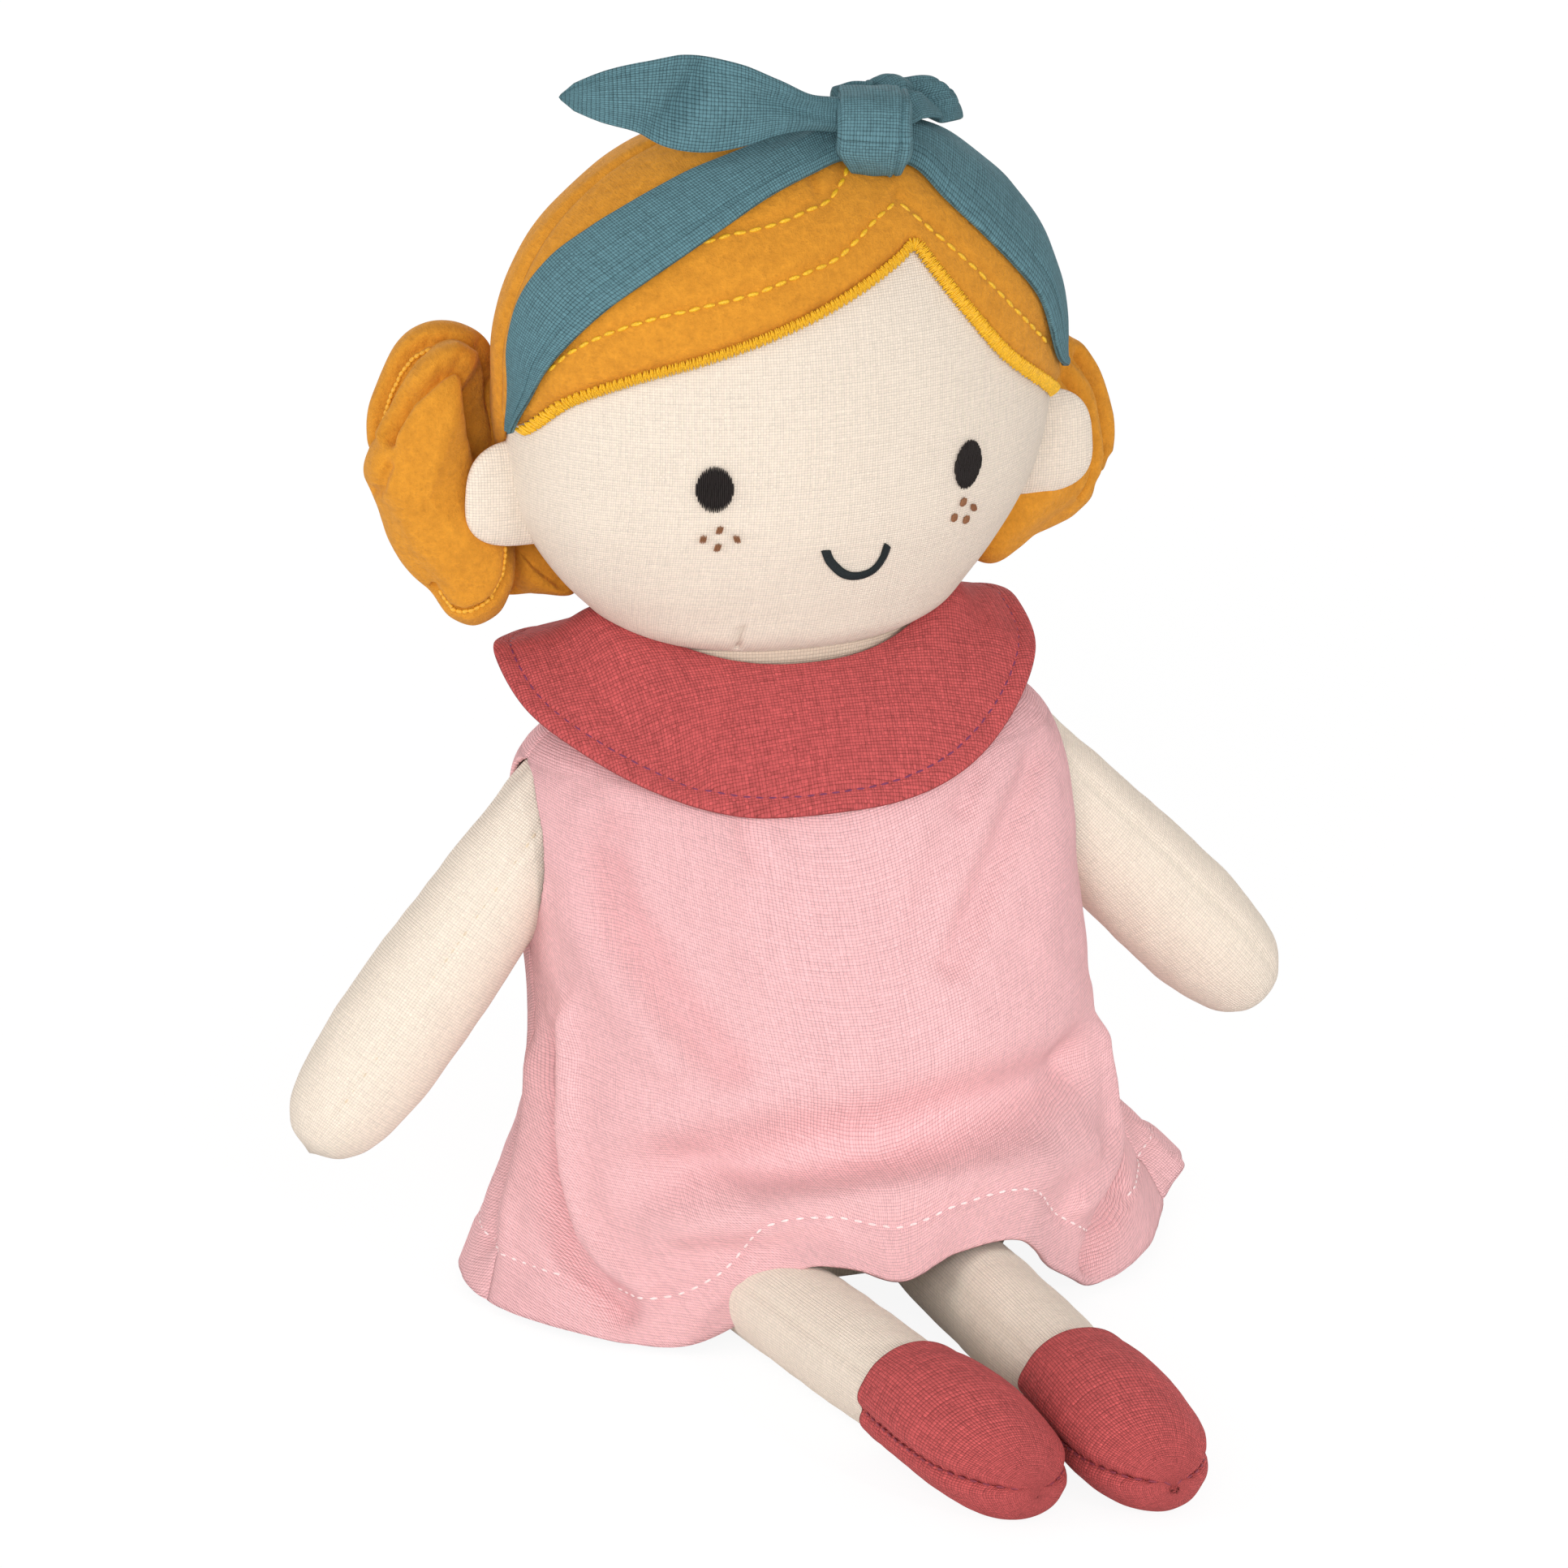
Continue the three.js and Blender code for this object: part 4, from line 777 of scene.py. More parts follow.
def satin_hairline():
    made = []
    for k, (x, z), ahead in satin_places(HAIRLINE_FINE):
        across = np.array([-ahead[1], ahead[0]])
        lean = 0.35 * math.sin(k * 1.7)
        half = 1.32 + 0.2 * math.sin(k * 2.3) * math.sin(k * 0.61)
        low = face_point(x - across[0] * half, z - across[1] * half, 0.25)
        high = face_point(x + across[0] * half, z + across[1] * half, FELT_TOP + 0.3)
        out = face_normal(x, z)
        along = high - low + lean * unit(np.cross(out, high - low))
        rise = 0.12 + 0.12 * math.sin(k * 2.9)
        made.append(((low + high) / 2 + out * rise, along, out, half * 1.08, 0.21, 0.5))
    piece = stitches_piece("hairline_satin", made, GOLD)
    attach(piece, "head")
    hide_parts("hairline_stitch")


def hair_stitching():
    made = []
    for line in STITCH_LINES:
        fine = spline(np.array(line), np.linspace(0, 1, 80))
        points = np.array([face_point(x, z, FELT_TOP - 0.1) for x, z in fine])
        outs = np.array([face_normal(x, z) for x, z in fine])
        made += running_stitches(points, outs, 2.9, 0.82, 0.46, 0.42)
    piece = stitches_piece("hair_stitching", made, GOLD)
    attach(piece, "head")


# Face stitching

EYES = [("right_eye", -0.445, 0.386, 3.3, 4.8, -0.04), ("left_eye", 0.498, 0.381, 2.95, 5.1, 0.02)]
FRECKLES = [
    ("right_freckle", [(-0.47, 0.281), (-0.42, 0.301), (-0.359, 0.281), (-0.42, 0.263)]),
    ("left_freckle", [(0.459, 0.272), (0.491, 0.302), (0.543, 0.283), (0.516, 0.26)]),
]
SMILE = np.array([(-0.041, 0.244), (-0.016, 0.218), (0.038, 0.189), (0.093, 0.179), (0.148, 0.186),
                  (0.18, 0.209), (0.193, 0.239)]) * (HEAD_WIDTH, HEAD_HEIGHT)


def satin_oval(x, z, half_width, half_height, lean, pitch):
    """Upright satin stitches that fill an oval on the face."""
    made = []
    count = int(2 * half_width / pitch)
    for k in range(count + 1):
        across = -half_width + 2 * half_width * k / count
        half = half_height * math.sqrt(max(1 - (across / (half_width + 0.12)) ** 2, 0.0))
        half *= 1 + 0.03 * math.sin(k * 2.9)
        if half < 0.25:
            continue
        px = x + across
        meet = half * (0.1 + 0.35 * math.sin(k * 2.1))
        for low, high in ((-half, meet + 0.6), (meet - 0.6, half)):
            a = face_point(px + lean * low, z + low, 0.42)
            b = face_point(px + lean * high, z + high, 0.42)
            out = face_normal(px, z + (low + high) / 2)
            made.append(((a + b) / 2, b - a, out, np.linalg.norm(b - a) / 2 + 0.2, pitch * 0.68, 0.42))
    return made


def make_eyes():
    for name, x, z, half_width, half_height, lean in EYES:
        made = satin_oval(x * HEAD_WIDTH, z * HEAD_HEIGHT, half_width, half_height, lean, 0.34)
        piece = stitches_piece(name + "_satin", made, BLACK)
        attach(piece, "head")
        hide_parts(name)
    for name, places in FRECKLES:
        made = []
        for k, (x, z) in enumerate(places):
            lean = (0.1, 0.25, -0.35, 0.2)[k]
            made += satin_oval(x * HEAD_WIDTH, z * HEAD_HEIGHT, 0.44, 0.74, lean, 0.24)
        piece = stitches_piece(name + "s", made, BROWN)
        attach(piece, "head")
        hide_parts(*[f"{name}_{k + 1}" for k in range(len(places))])


def make_smile():
    made = []
    for _, (x, z), ahead in satin_places(spline(SMILE, np.linspace(0, 1, 120), uniform=True)):
        slant = np.array([ahead[0] * 0.5 - ahead[1], ahead[1] * 0.5 + ahead[0]])
        a = face_point(x - slant[0] * 0.7, z - slant[1] * 0.7, 0.35)
        b = face_point(x + slant[0] * 0.7, z + slant[1] * 0.7, 0.35)
        out = face_normal(x, z)
        made.append(((a + b) / 2, b - a, out, 1.05, 0.25, 0.5))
    piece = stitches_piece("smile_satin", made, INK)
    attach(piece, "head")
    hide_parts("smile")


# Ears and arms

SIDES = {"right": -1, "left": 1}
EAR_Y, EAR_WIDTH, EAR_HEIGHT, EAR_HALF = NECK_Y + 2.0, 12.2, 10.8, 3.1
EARS = {"right": (0.92, 0.312), "left": (0.985, 0.308)}


def make_ear(name):
    side = SIDES[name]
    aside, above = EARS[name]
    centre = np.array([side * aside * HEAD_WIDTH, EAR_Y, HEAD_BASE[2] + above * HEAD_HEIGHT])
    gather = centre + (-side * 5.0, -EAR_HALF, -9.0)

    def place(u, v):
        angle, tilt = 2 * math.pi * u, math.pi * v
        across = squared(np.cos(angle), 2.7) * np.sin(tilt)
        up = squared(np.sin(angle), 2.9) * np.sin(tilt)
        through = -squared(np.cos(tilt), 2.3)
        pinched = 1 - 0.45 * smooth(-0.1, -0.7, across * side)
        points = centre + np.stack([
            across * EAR_WIDTH * (1 - 0.06 * up),
            through * EAR_HALF * pinched,
            up * EAR_HEIGHT,
        ], -1)
        rim = ridge(np.sin(tilt) - 0.93, 0.04) * np.abs(np.cos(tilt))
        points[..., 1] += through * (0.35 * wobble(points, 6.0, side) - 0.5 * rim)
        points[..., 1] += 0.7 * ridge(near_course(points, [gather, gather + (side * 1.5, 0, 7.0)]), 0.9)
        return points

    def cloth(u, v):
        return place(u, v)[..., [0, 2]]

    piece = grid_piece(name + "_ear_cloth", 80, 48, place, LINEN, cloth, around=True, inside=centre)
    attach(piece, "head")
    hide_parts(name + "_ear")


SHOULDER = (45.34, 20.5, 104.5)
ARM_HALF, ARM_FLAT = 12.6, 0.88
ARMS = {"right": np.array([-54.5, 0.0, -70.0]), "left": np.array([62.0, 12.0, -65.5])}
# Each row: share of the length, then half thickness as a share.
ARM_PROFILE = np.array([
    (-0.075, 0.5), (0, 0.76), (0.12, 0.84), (0.3, 0.93), (0.52, 1), (0.72, 1), (0.88, 0.84),
    (0.96, 0.56), (1, 0),
])
ARM_SEAM = {"right": math.radians(112), "left": math.radians(-122)}
ARM_CLOTH_RADIUS, ARM_PUCKER = 11.5, 3.4


def make_arm(name):
    side, way, seam_turn = SIDES[name], ARMS[name], ARM_SEAM[name]
    root = np.array(SHOULDER) * (side, 1, 1)
    forward = unit(way)
    across = unit(np.array([-forward[2], 0, forward[0]]))
    up = unit(np.cross(forward, across))
    length = np.linalg.norm(way)

    def section(thick, angle):
        return (across * (thick * ARM_HALF * np.cos(angle))[..., None]
                + up * (thick * ARM_HALF * ARM_FLAT * np.sin(angle))[..., None])

    def place(u, v):
        share = spline(ARM_PROFILE, v ** 0.94)
        at, thick = share[..., 0], np.maximum(share[..., 1], 0)
        angle = 2 * math.pi * u
        seam = np.minimum(*(turn_between(angle, seam_turn + half) for half in (0, math.pi)))
        ring = root + way * at[..., None] + section(thick, angle)
        out = unit(across * np.cos(angle)[..., None] + up * np.sin(angle)[..., None])
        pucker = 1 + 0.35 * np.sin(at * length / ARM_PUCKER * 2 * math.pi) * ridge(seam, 0.2)
        lift = -0.5 * ridge(seam, 0.075) * pucker * smooth(0, 0.12, 1 - at)
        lift = lift + 0.42 * wobble(ring, 15.0, side * 3.0) + 0.16 * wobble(ring, 5.0, 8.0)
        gather = ridge(at - 0.02, 0.09) * 0.5 * np.sin(angle * 7 + 1.0)
        return ring + out * (lift + gather)[..., None]

    def cloth(u, v):
        share = spline(ARM_PROFILE, v ** 0.94)
        return np.stack([u * 2 * math.pi * ARM_CLOTH_RADIUS, share[..., 0] * length], -1)

    middle = root + way / 2
    piece = grid_piece(name + "_arm", 96, 150, place, LINEN, cloth, around=True, inside=middle)
    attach(piece, name + "_arm")
    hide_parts(name + "_arm_skin", name + "_arm_stuffing")
    ats = np.linspace(0.12, 0.95, 120)
    thick = np.interp(ats, ARM_PROFILE[:, 0], ARM_PROFILE[:, 1])
    points = root + way * ats[:, None] + section(thick, seam_turn)
    out = unit(across * math.cos(seam_turn) + up * math.sin(seam_turn))
    outs = np.broadcast_to(out, points.shape)
    made = running_stitches(points - outs * 0.5, outs, 2.1, 0.55, 0.22, 0.2)
    seam = stitches_piece(name + "_arm_seam", made, CREAM_THREAD)
    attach(seam, name + "_arm")


# Legs and shoes

HIP = (19.8, -19.6, 6.0)
LEG_RADIUS = 10.5
LEAST_HALF_WIDTH, LEAST_HALF_HEIGHT = 9.0, 1.2
LEG_SEAM, LEG_CLOTH_RADIUS = math.radians(148), 10.2
# Each leg: its length, its shoe's length, and how far the toe lies inwards of the hip.
LEGS = {"right": (66.6, 50.0, 13.0), "left": (70.6, 51.5, 1.0)}
# Each row: share of the length, then half width and half height as shares, for shoes also the middle's height.
LEG_PROFILE = np.array([
    (-0.16, 0, 0), (-0.13, 0.4, 0.42), (-0.08, 0.6, 0.74), (0.0, 0.7, 0.93), (0.2, 0.75, 0.99),
    (0.5, 0.9, 1), (0.8, 0.8, 0.98), (1, 0.6, 0.95),
])
SHOE_PROFILE = np.array([
    (0, 0.87, 0.96, 0.96), (0.2, 0.97, 1.01, 1), (0.45, 1.02, 0.98, 0.95), (0.68, 0.95, 0.85, 0.84),
    (0.86, 0.69, 0.65, 0.73), (0.96, 0.36, 0.36, 0.7), (1, 0, 0, 0.7),
])
SHOE_HALF_WIDTH, SHOE_HALF_HEIGHT = 13.2, 11.4
SHOE_LIFT, SHOE_SEAM_HEIGHT, SHOE_PUCKER = 0.5, 9.12, 3.0
FLOOR_GAP = 0.02


def rest_on_floor(points, soften=1.2):
    """Lets cloth that would pass through the floor lie flat on it."""
    z = points[..., 2]
    points[..., 2] = np.where(z < soften, soften * np.exp((z - soften) / soften), z)
    points[..., 2] = np.maximum(points[..., 2], FLOOR_GAP)
    return points


def leg_end(name):
    length, shoe, inward = LEGS[name]
    across = HIP[0] - inward * length / (length + shoe)
    return np.array([SIDES[name] * across, HIP[1] - length, LEG_RADIUS - 0.5])


def make_leg(name):
    side, length = SIDES[name], LEGS[name][0]
    hip = np.array(HIP) * (side, 1, 1)
    end = leg_end(name)

    def place(u, v):
        share = spline(LEG_PROFILE, v)
        at, wide, high = share[..., 0], share[..., 1], share[..., 2]
        half_height = LEAST_HALF_HEIGHT + high * (LEG_RADIUS - LEAST_HALF_HEIGHT)
        half_width = LEAST_HALF_WIDTH + wide * (LEG_RADIUS - LEAST_HALF_WIDTH)
        centre = hip + (end - hip) * at[..., None]
        centre[..., 2] = hip[2] + high * (end[2] - hip[2])
        angle = 2 * math.pi * u
        ring = centre + upright(angle, half_width, half_height)
        lift = 0.4 * wobble(ring, 14.0, side * 7.0) + 0.14 * wobble(ring, 5.0, 6.0)
        lift = lift - 0.55 * ridge(turn_between(angle, LEG_SEAM), 0.09) - 0.5 * ridge(at - 1.0, 0.03)
        lift = lift * smooth(0.05, 0.3, at)
        return rest_on_floor(ring + upright(angle) * lift[..., None])

    def cloth(u, v):
        share = spline(LEG_PROFILE, v)
        return np.stack([u * 2 * math.pi * LEG_CLOTH_RADIUS, share[..., 0] * length], -1)

    piece = grid_piece(
        name + "_leg", 84, 110, place, LINEN, cloth,
        around=True, inside=(hip + end) / 2, thickness=LIMB_CLOTH,
    )
    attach(piece, name + "_leg")
    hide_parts(name + "_leg_skin", name + "_leg_stuffing")
    make_shoe(name)


def shoe_ring(name, v, angle, lift):
    """Points of the shoe at shares v of its length and angles round it."""
    _, shoe, inward = LEGS[name]
    start = leg_end(name)
    toe = np.array([SIDES[name] * (HIP[0] - inward), start[1] - shoe, start[2]])
    share = spline(SHOE_PROFILE, v)
    at, wide, high, mid = (share[..., k] for k in range(4))
    wide, high = np.maximum(wide, 0), np.maximum(high, 0)
    centre = start + (toe - start) * at[..., None]
    centre[..., 2] = mid * SHOE_HALF_HEIGHT - SHOE_LIFT
    ring = centre + upright(angle, wide * SHOE_HALF_WIDTH, high * SHOE_HALF_HEIGHT)
    out = unit(upright(angle, ahead=-0.25))
    return rest_on_floor(ring + out * lift(ring, at)[..., None])


def make_shoe(name):
    side = SIDES[name]
    _, shoe, inward = LEGS[name]
    middle = leg_end(name) + np.array([-side * inward * 0.2, -shoe / 2, 0])

    def seam_angles(v):
        share = spline(SHOE_PROFILE, v)
        high, mid = np.maximum(share[..., 2], 0.02), share[..., 3]
        above = SHOE_SEAM_HEIGHT - (mid * SHOE_HALF_HEIGHT - SHOE_LIFT)
        return np.arcsin(np.clip(above / (high * SHOE_HALF_HEIGHT), -0.75, 0.75))

    def surface(part):
        def place(u, v):
            t = 1 - (1 - v) ** 1.25
            seam = seam_angles(t)
            if part == "upper":
                angle = seam + u * (math.pi - 2 * seam)
            else:
                angle = math.pi - seam + u * (math.pi + 2 * seam)
            gap = np.minimum(u, 1 - u)

            def lift(ring, at):
                puckers = 1 + 0.3 * np.sin(at * shoe / SHOE_PUCKER * 2 * math.pi)
                made = -1.0 * ridge(gap, 0.035) * puckers + 0.35 * ridge(gap - 0.09, 0.05)
                made = made * smooth(0, 0.06, 1 - at)
                made = made + 0.35 * wobble(ring, 12.0, 11.0 * side) + 0.12 * wobble(ring, 4.0, 3.0)
                return made + 0.35 * ridge(at, 0.05)

            return shoe_ring(name, t, angle, lift)
        return place

    def cloth(u, v):
        return np.stack([u * 40, v * shoe], -1)

    for part in ("upper", "sole"):
        piece = grid_piece(
            f"{name}_shoe_{part}_cloth", 72, 84, surface(part), RED, cloth,
            inside=middle, thickness=SHOE_CLOTH,
        )
        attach(piece, name + "_leg")
        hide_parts(f"{name}_shoe_{part}")
    made = []
    v = np.linspace(0.03, 0.97, 160)
    seam = seam_angles(v)
    for angle in (seam, math.pi - seam):
        points = shoe_ring(name, v, angle, lambda ring, at: -0.55 + 0 * at)
        made += running_stitches(points, upright(angle), 2.8, 0.6, 0.25, 0.25)
    piece = stitches_piece(name + "_shoe_seam", made, RED_THREAD)
    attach(piece, name + "_leg")


# Torso and neck

# Each row: height, half width, half depth and lean back, as shares.
TORSO = np.array([
    (0, 0.81, 0.725, 0), (0.035, 0.921, 0.88, 0.026), (0.068, 0.955, 0.928, 0.052),
    (0.125, 0.989, 0.957, 0.087), (0.295, 1, 1, 0.217), (0.5, 0.955, 0.942, 0.41),
    (0.71, 0.876, 0.797, 0.609), (0.84, 0.831, 0.688, 0.74),
    (0.91, 0.77, 0.61, 0.81), (0.96, 0.68, 0.54, 0.9), (0.99, 0.58, 0.46, 0.96), (1, 0.52, 0.41, 1),
])
TORSO_HALF_WIDTH, TORSO_HALF_DEPTH, TORSO_SEAT_Y, TORSO_LEAN = 44.5, 27.6, 3, 23
SEAT_HALF_WIDTH, SEAT_HALF_DEPTH = 0.81 * 44.0, 0.725 * 27.2


def seat_height(y):
    """Height of the torso's underside, which rises in front to clear the legs."""
    return FLOOR_GAP + 3.0 * smooth(10, -3, y)


def make_torso():
    def place(u, v):
        share = between_rows(TORSO, np.clip(v / 0.9, 0, 1))
        closing = smooth(0.9, 1, v)
        angle = 2 * math.pi * u
        z = share[..., 0] * TORSO_TOP
        x = share[..., 1] * TORSO_HALF_WIDTH * np.cos(angle) * (1 - closing)
        tucked = np.where(np.sin(angle) < 0, 0.2 + 0.8 * smooth(4, 18, z), 1.0)
        y = share[..., 2] * TORSO_HALF_DEPTH * np.sin(angle) * tucked * (1 - closing)
        ring = np.stack([x, y + TORSO_SEAT_Y + share[..., 3] * TORSO_LEAN, z], -1)
        out = np.stack([np.cos(angle), np.sin(angle), 0 * angle], -1)
        lift = 0.4 * wobble(ring, 16.0) - 0.4 - 0.4 * ridge(np.abs(np.cos(angle)) - 1, 0.01)
        points = ring + out * (lift * (1 - closing))[..., None]
        points[..., 2] = np.maximum(points[..., 2], seat_height(points[..., 1]))
        return points

    def cloth(u, v):
        return np.stack([u * 220, v * 120], -1)

    def seat(u, v):
        angle = 2 * math.pi * u
        y = SEAT_HALF_DEPTH * np.sin(angle) * v * np.where(u > 0.5, 0.2, 1.0) + TORSO_SEAT_Y
        return np.stack([SEAT_HALF_WIDTH * np.cos(angle) * v, y, seat_height(y)], -1)

    def seat_cloth(u, v):
        angle = 2 * math.pi * u
        return np.stack([v * 40 * np.cos(angle), v * 30 * np.sin(angle)], -1)

    piece = grid_piece("torso", 110, 90, place, LINEN, cloth, around=True, inside=(0, 12, 60))
    base = grid_piece(
        "torso_seat", 80, 12, seat, LINEN, seat_cloth, around=True, inside=(0, TORSO_SEAT_Y, 20)
    )
    for part in (piece, base):
        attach(part, "torso")
    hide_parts("torso_skin", "torso_stuffing")


# Each row: half width, half depth and depth below the neck's top, as shares.
NECK = np.array([
    (1, 1, 0), (0.97, 0.94, 0.28), (0.88, 0.74, 0.54), (0.76, 0.42, 0.82), (0.68, 0.14, 0.98),
])
NECK_HALF_WIDTH, NECK_HALF_DEPTH, NECK_LENGTH = 28.0, 19.15, 11.2


def make_neck():
    def place(u, v):
        share = between_rows(NECK, v)
        angle = 2 * math.pi * u
        puff = 0.15 + 0.1 * np.sin(angle * 40) * smooth(0, 0.1, 0.1 - v)
        x = (share[..., 0] * NECK_HALF_WIDTH + puff) * np.cos(angle)
        y = (share[..., 1] * NECK_HALF_DEPTH + puff) * np.sin(angle) + NECK_Y
        z = NECK_TOP + 0.9 * (1 - smooth(0, 0.12, v)) - share[..., 2] * NECK_LENGTH
        return np.stack([x, y, z], -1)

    def cloth(u, v):
        return np.stack([u * 150, v * 14], -1)

    # The neck strip wears the linen painted darker, as painted shade under the chin.
    piece = grid_piece(
        "neck", 160, 24, place, SHADED_NECK_LINEN, cloth,
        around=True, inside=(0, NECK_Y, 126), thickness=LIMB_CLOTH,
    )
    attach(piece, "neck")
    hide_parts("neck_band", "neck_stuffing")


# Collar

# Each point of the edge: turn in degrees, then across, behind and down as shares.
COLLAR = np.array([
    (0, 0.9, 0.02, 0.05), (30, 0.87, 0.42, 0.02), (60, 0.5, 0.84, 0.22), (90, 0, 0.97, 0.36),
    (120, -0.53, 0.8, 0.18), (150, -0.88, 0.42, 0), (180, -1.01, 0.02, -0.02),
    (205, -0.97, -0.42, 0.24), (228, -0.74, -0.76, 0.62),
    (249, -0.45, -0.94, 0.86), (270, 0, -1.01, 1), (291, 0.42, -0.94, 0.86), (312, 0.69, -0.72, 0.55),
    (335, 0.86, -0.38, 0.2),
])
COLLAR_Z = NECK_TOP - GAP - 0.9
COLLAR_REACH, COLLAR_HOLE = (58, 34, 28), (28.6, 19.75)
COLLAR_HEM, COLLAR_WALL = 3.6, 0.85


def collar_outer(u):
    edge = (0, NECK_Y, COLLAR_Z) + COLLAR[:, 1:] * COLLAR_REACH * (1, 1, -1)
    return spline(edge, u, closed=True)


def collar_inner(u):
    turns = np.radians(np.append(COLLAR[:, 0], 360.0))
    turn = np.interp(u * len(COLLAR), np.arange(len(COLLAR) + 1), turns)
    wide, deep = COLLAR_HOLE
    return np.stack([wide * np.cos(turn), NECK_Y + deep * np.sin(turn), COLLAR_Z + 0 * turn], -1)


def collar_across(v):
    """How far from the neck the closed loop of the collar's cloth is: 0 at the neck, 1 at the hem."""
    return np.clip(0.5 - 0.5 * squared(np.cos(2 * math.pi * v), 2.6), 0, 1)


def collar_point(u, v, rise=0.0):
    inner, outer = collar_inner(u), collar_outer(u)
    points = inner + (outer - inner) * v[..., None]
    beside = np.abs(inner[..., 0] / COLLAR_HOLE[0]) ** 3
    leaning = np.clip(1 - v / 0.55, 0, 1) ** 1.5
    crest = ridge(v - 0.2, 0.3) * beside
    points[..., 2] += 1.8 * np.sin(v * math.pi) + rise + leaning * (0.5 + 2.6 * beside) + 4.4 * crest
    points[..., 0] += (leaning * 2.6 + 1.5 * crest) * beside * np.sign(inner[..., 0])
    ahead = np.clip((NECK_Y - inner[..., 1]) / COLLAR_HOLE[1], 0, 1) ** 2
    points[..., 2] -= 1.5 * ahead * (1 - v)
    from_edge = (1 - v) * np.linalg.norm(outer - inner, axis=-1)
    ease = 0.35 * np.sin(u * 2 * math.pi * 7 + 0.8) * v**2 + 0.8 * wobble(points, 19.0, 1.5) * v
    points[..., 2] += ease + folds_at(points * (1, 1, 0.4), COLLAR_FOLDS)
    points[..., 2] += 0.35 * smooth(3.2, 1.2, from_edge) - 0.45 * ridge(from_edge - COLLAR_HEM, 0.45)
    return points


COLLAR_FOLDS = [
    (-0.9, 3.0, [(-46, 24, 51), (-40, 6, 48), (-28, -2, 45)]),
    (0.8, 3.0, [(30, 2, 47), (42, 14, 50), (46, 30, 52)]),
]


def make_collar():
    def place(u, v):
        points = collar_point(u, collar_across(v))
        points[..., 2] += COLLAR_WALL * squared(np.sin(2 * math.pi * v), 5.0)
        return points

    def cloth(u, v):
        inner, outer = collar_inner(u), collar_outer(u)
        from_neck = inner[..., :2] - (0, NECK_Y)
        width = np.linalg.norm(outer - inner, axis=-1)
        reach = 1 + collar_across(v) * width / np.linalg.norm(from_neck, axis=-1)
        return from_neck * reach[..., None] + (v[..., None] > 0.5) * np.array([150.0, 0.0])

    piece = grid_piece("collar_cloth", 260, 96, place, RED, cloth, around=True, inside=(0, 26, 100))
    close_tube(piece)
    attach(piece, "torso")
    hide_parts("collar")
    u = np.linspace(0, 1, 400)
    inner, outer = collar_inner(u), collar_outer(u)
    width = np.linalg.norm(outer - inner, axis=-1)
    points = collar_point(u, 1 - COLLAR_HEM / width, 0.72)
    ahead = unit(np.gradient(points, axis=0))
    outs = unit(np.cross(ahead, outer - inner))
    outs = outs * np.sign(outs[:, 2:3])
    made = running_stitches(points - outs * 0.05, outs, 2.6, 0.72, 0.26, 0.26)
    seam = stitches_piece("collar_stitching", made, PLUM_THREAD)
    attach(seam, "torso")


def close_tube(piece):
    """Joins the first row of a grid to its last, and turns the faces out."""
    bm = bmesh.new()
    bm.from_mesh(piece.data)
    bmesh.ops.remove_doubles(bm, verts=bm.verts, dist=1e-6)
    bmesh.ops.recalc_face_normals(bm, faces=bm.faces)
    bm.to_mesh(piece.data)
    bm.free()
    for polygon in piece.data.polygons:
        polygon.use_smooth = True


# Dress

# Each row: height, half width, depth in front and behind, squareness, lift of the sides, lean; as shares.
DRESS_ROWS = np.array([
    (0.985, 0.53, 0.26, 0.84, 2, 0, 0), (0.945, 0.86, 0.4, 0.96, 2.3, 0.02, 0),
    (0.855, 0.97, 0.585, 1.04, 2.6, 0.03, 0), (0.67, 0.975, 0.75, 1, 2.8, 0, 0.03),
    (0.48, 0.975, 0.97, 0.92, 2.8, 0, 0.055),
    (0.345, 0.99, 1.09, 0.98, 2.6, -0.02, 0.06),
])
# Each point of the hem: turn in degrees, then across, behind and up as shares.
HEM = np.array([
    (0, 0.89, 0.21, 0.24), (20, 0.705, -0.23, 0.14), (34, 0.57, -0.375, 0.12), (48, 0.44, -0.5, 0.42),
    (62, 0.295, -0.715, 0.97), (76, 0.135, -0.775, 1), (90, 0, -0.82, 0.86), (104, -0.115, -0.77, 0.97),
    (118, -0.205, -0.68, 0.9), (133, -0.305, -0.5, 0.3), (147, -0.42, -0.43, 0.07),
    (162, -0.57, -0.27, 0.07),
    (180, -0.75, 0.25, 0.07), (208, -0.68, 0.75, 0.1), (248, -0.28, 0.96, 0.12), (292, 0.23, 1, 0.14),
    (328, 0.7, 0.89, 0.22), (346, 1, 0.55, 0.4),
])
DRESS_HEIGHT = TORSO_TOP + 0.5
DRESS_HALF_WIDTH, DRESS_FRONT, DRESS_BACK, DRESS_Y = 58, 44, 25, 20
HEM_REACH, HEM_FOLD = (88, 56, 23), 10.5
RIGHT_SEAM = 12 / len(HEM)
# The armhole is an ellipse seen from the side: its middle's y and z, then its half axes.
ARMHOLE = (20.0, 94.5, 11.2, 16.5)


def dress_levels():
    turns = np.radians(HEM[:, 0])
    levels = []
    for height, width, front, back, square, lift, lean in DRESS_ROWS:
        across = squared(np.cos(turns), square)
        ahead = squared(np.sin(turns), square)
        depth = np.where(ahead > 0, front * DRESS_FRONT, back * DRESS_BACK)
        levels.append(np.stack([
            (across * width + lean) * DRESS_HALF_WIDTH,
            DRESS_Y - ahead * depth,
            (height + lift * np.abs(across)) * DRESS_HEIGHT,
        ], -1))
    levels.append(HEM[:, 1:] * HEM_REACH)
    return levels


DRESS_LEVELS = dress_levels()


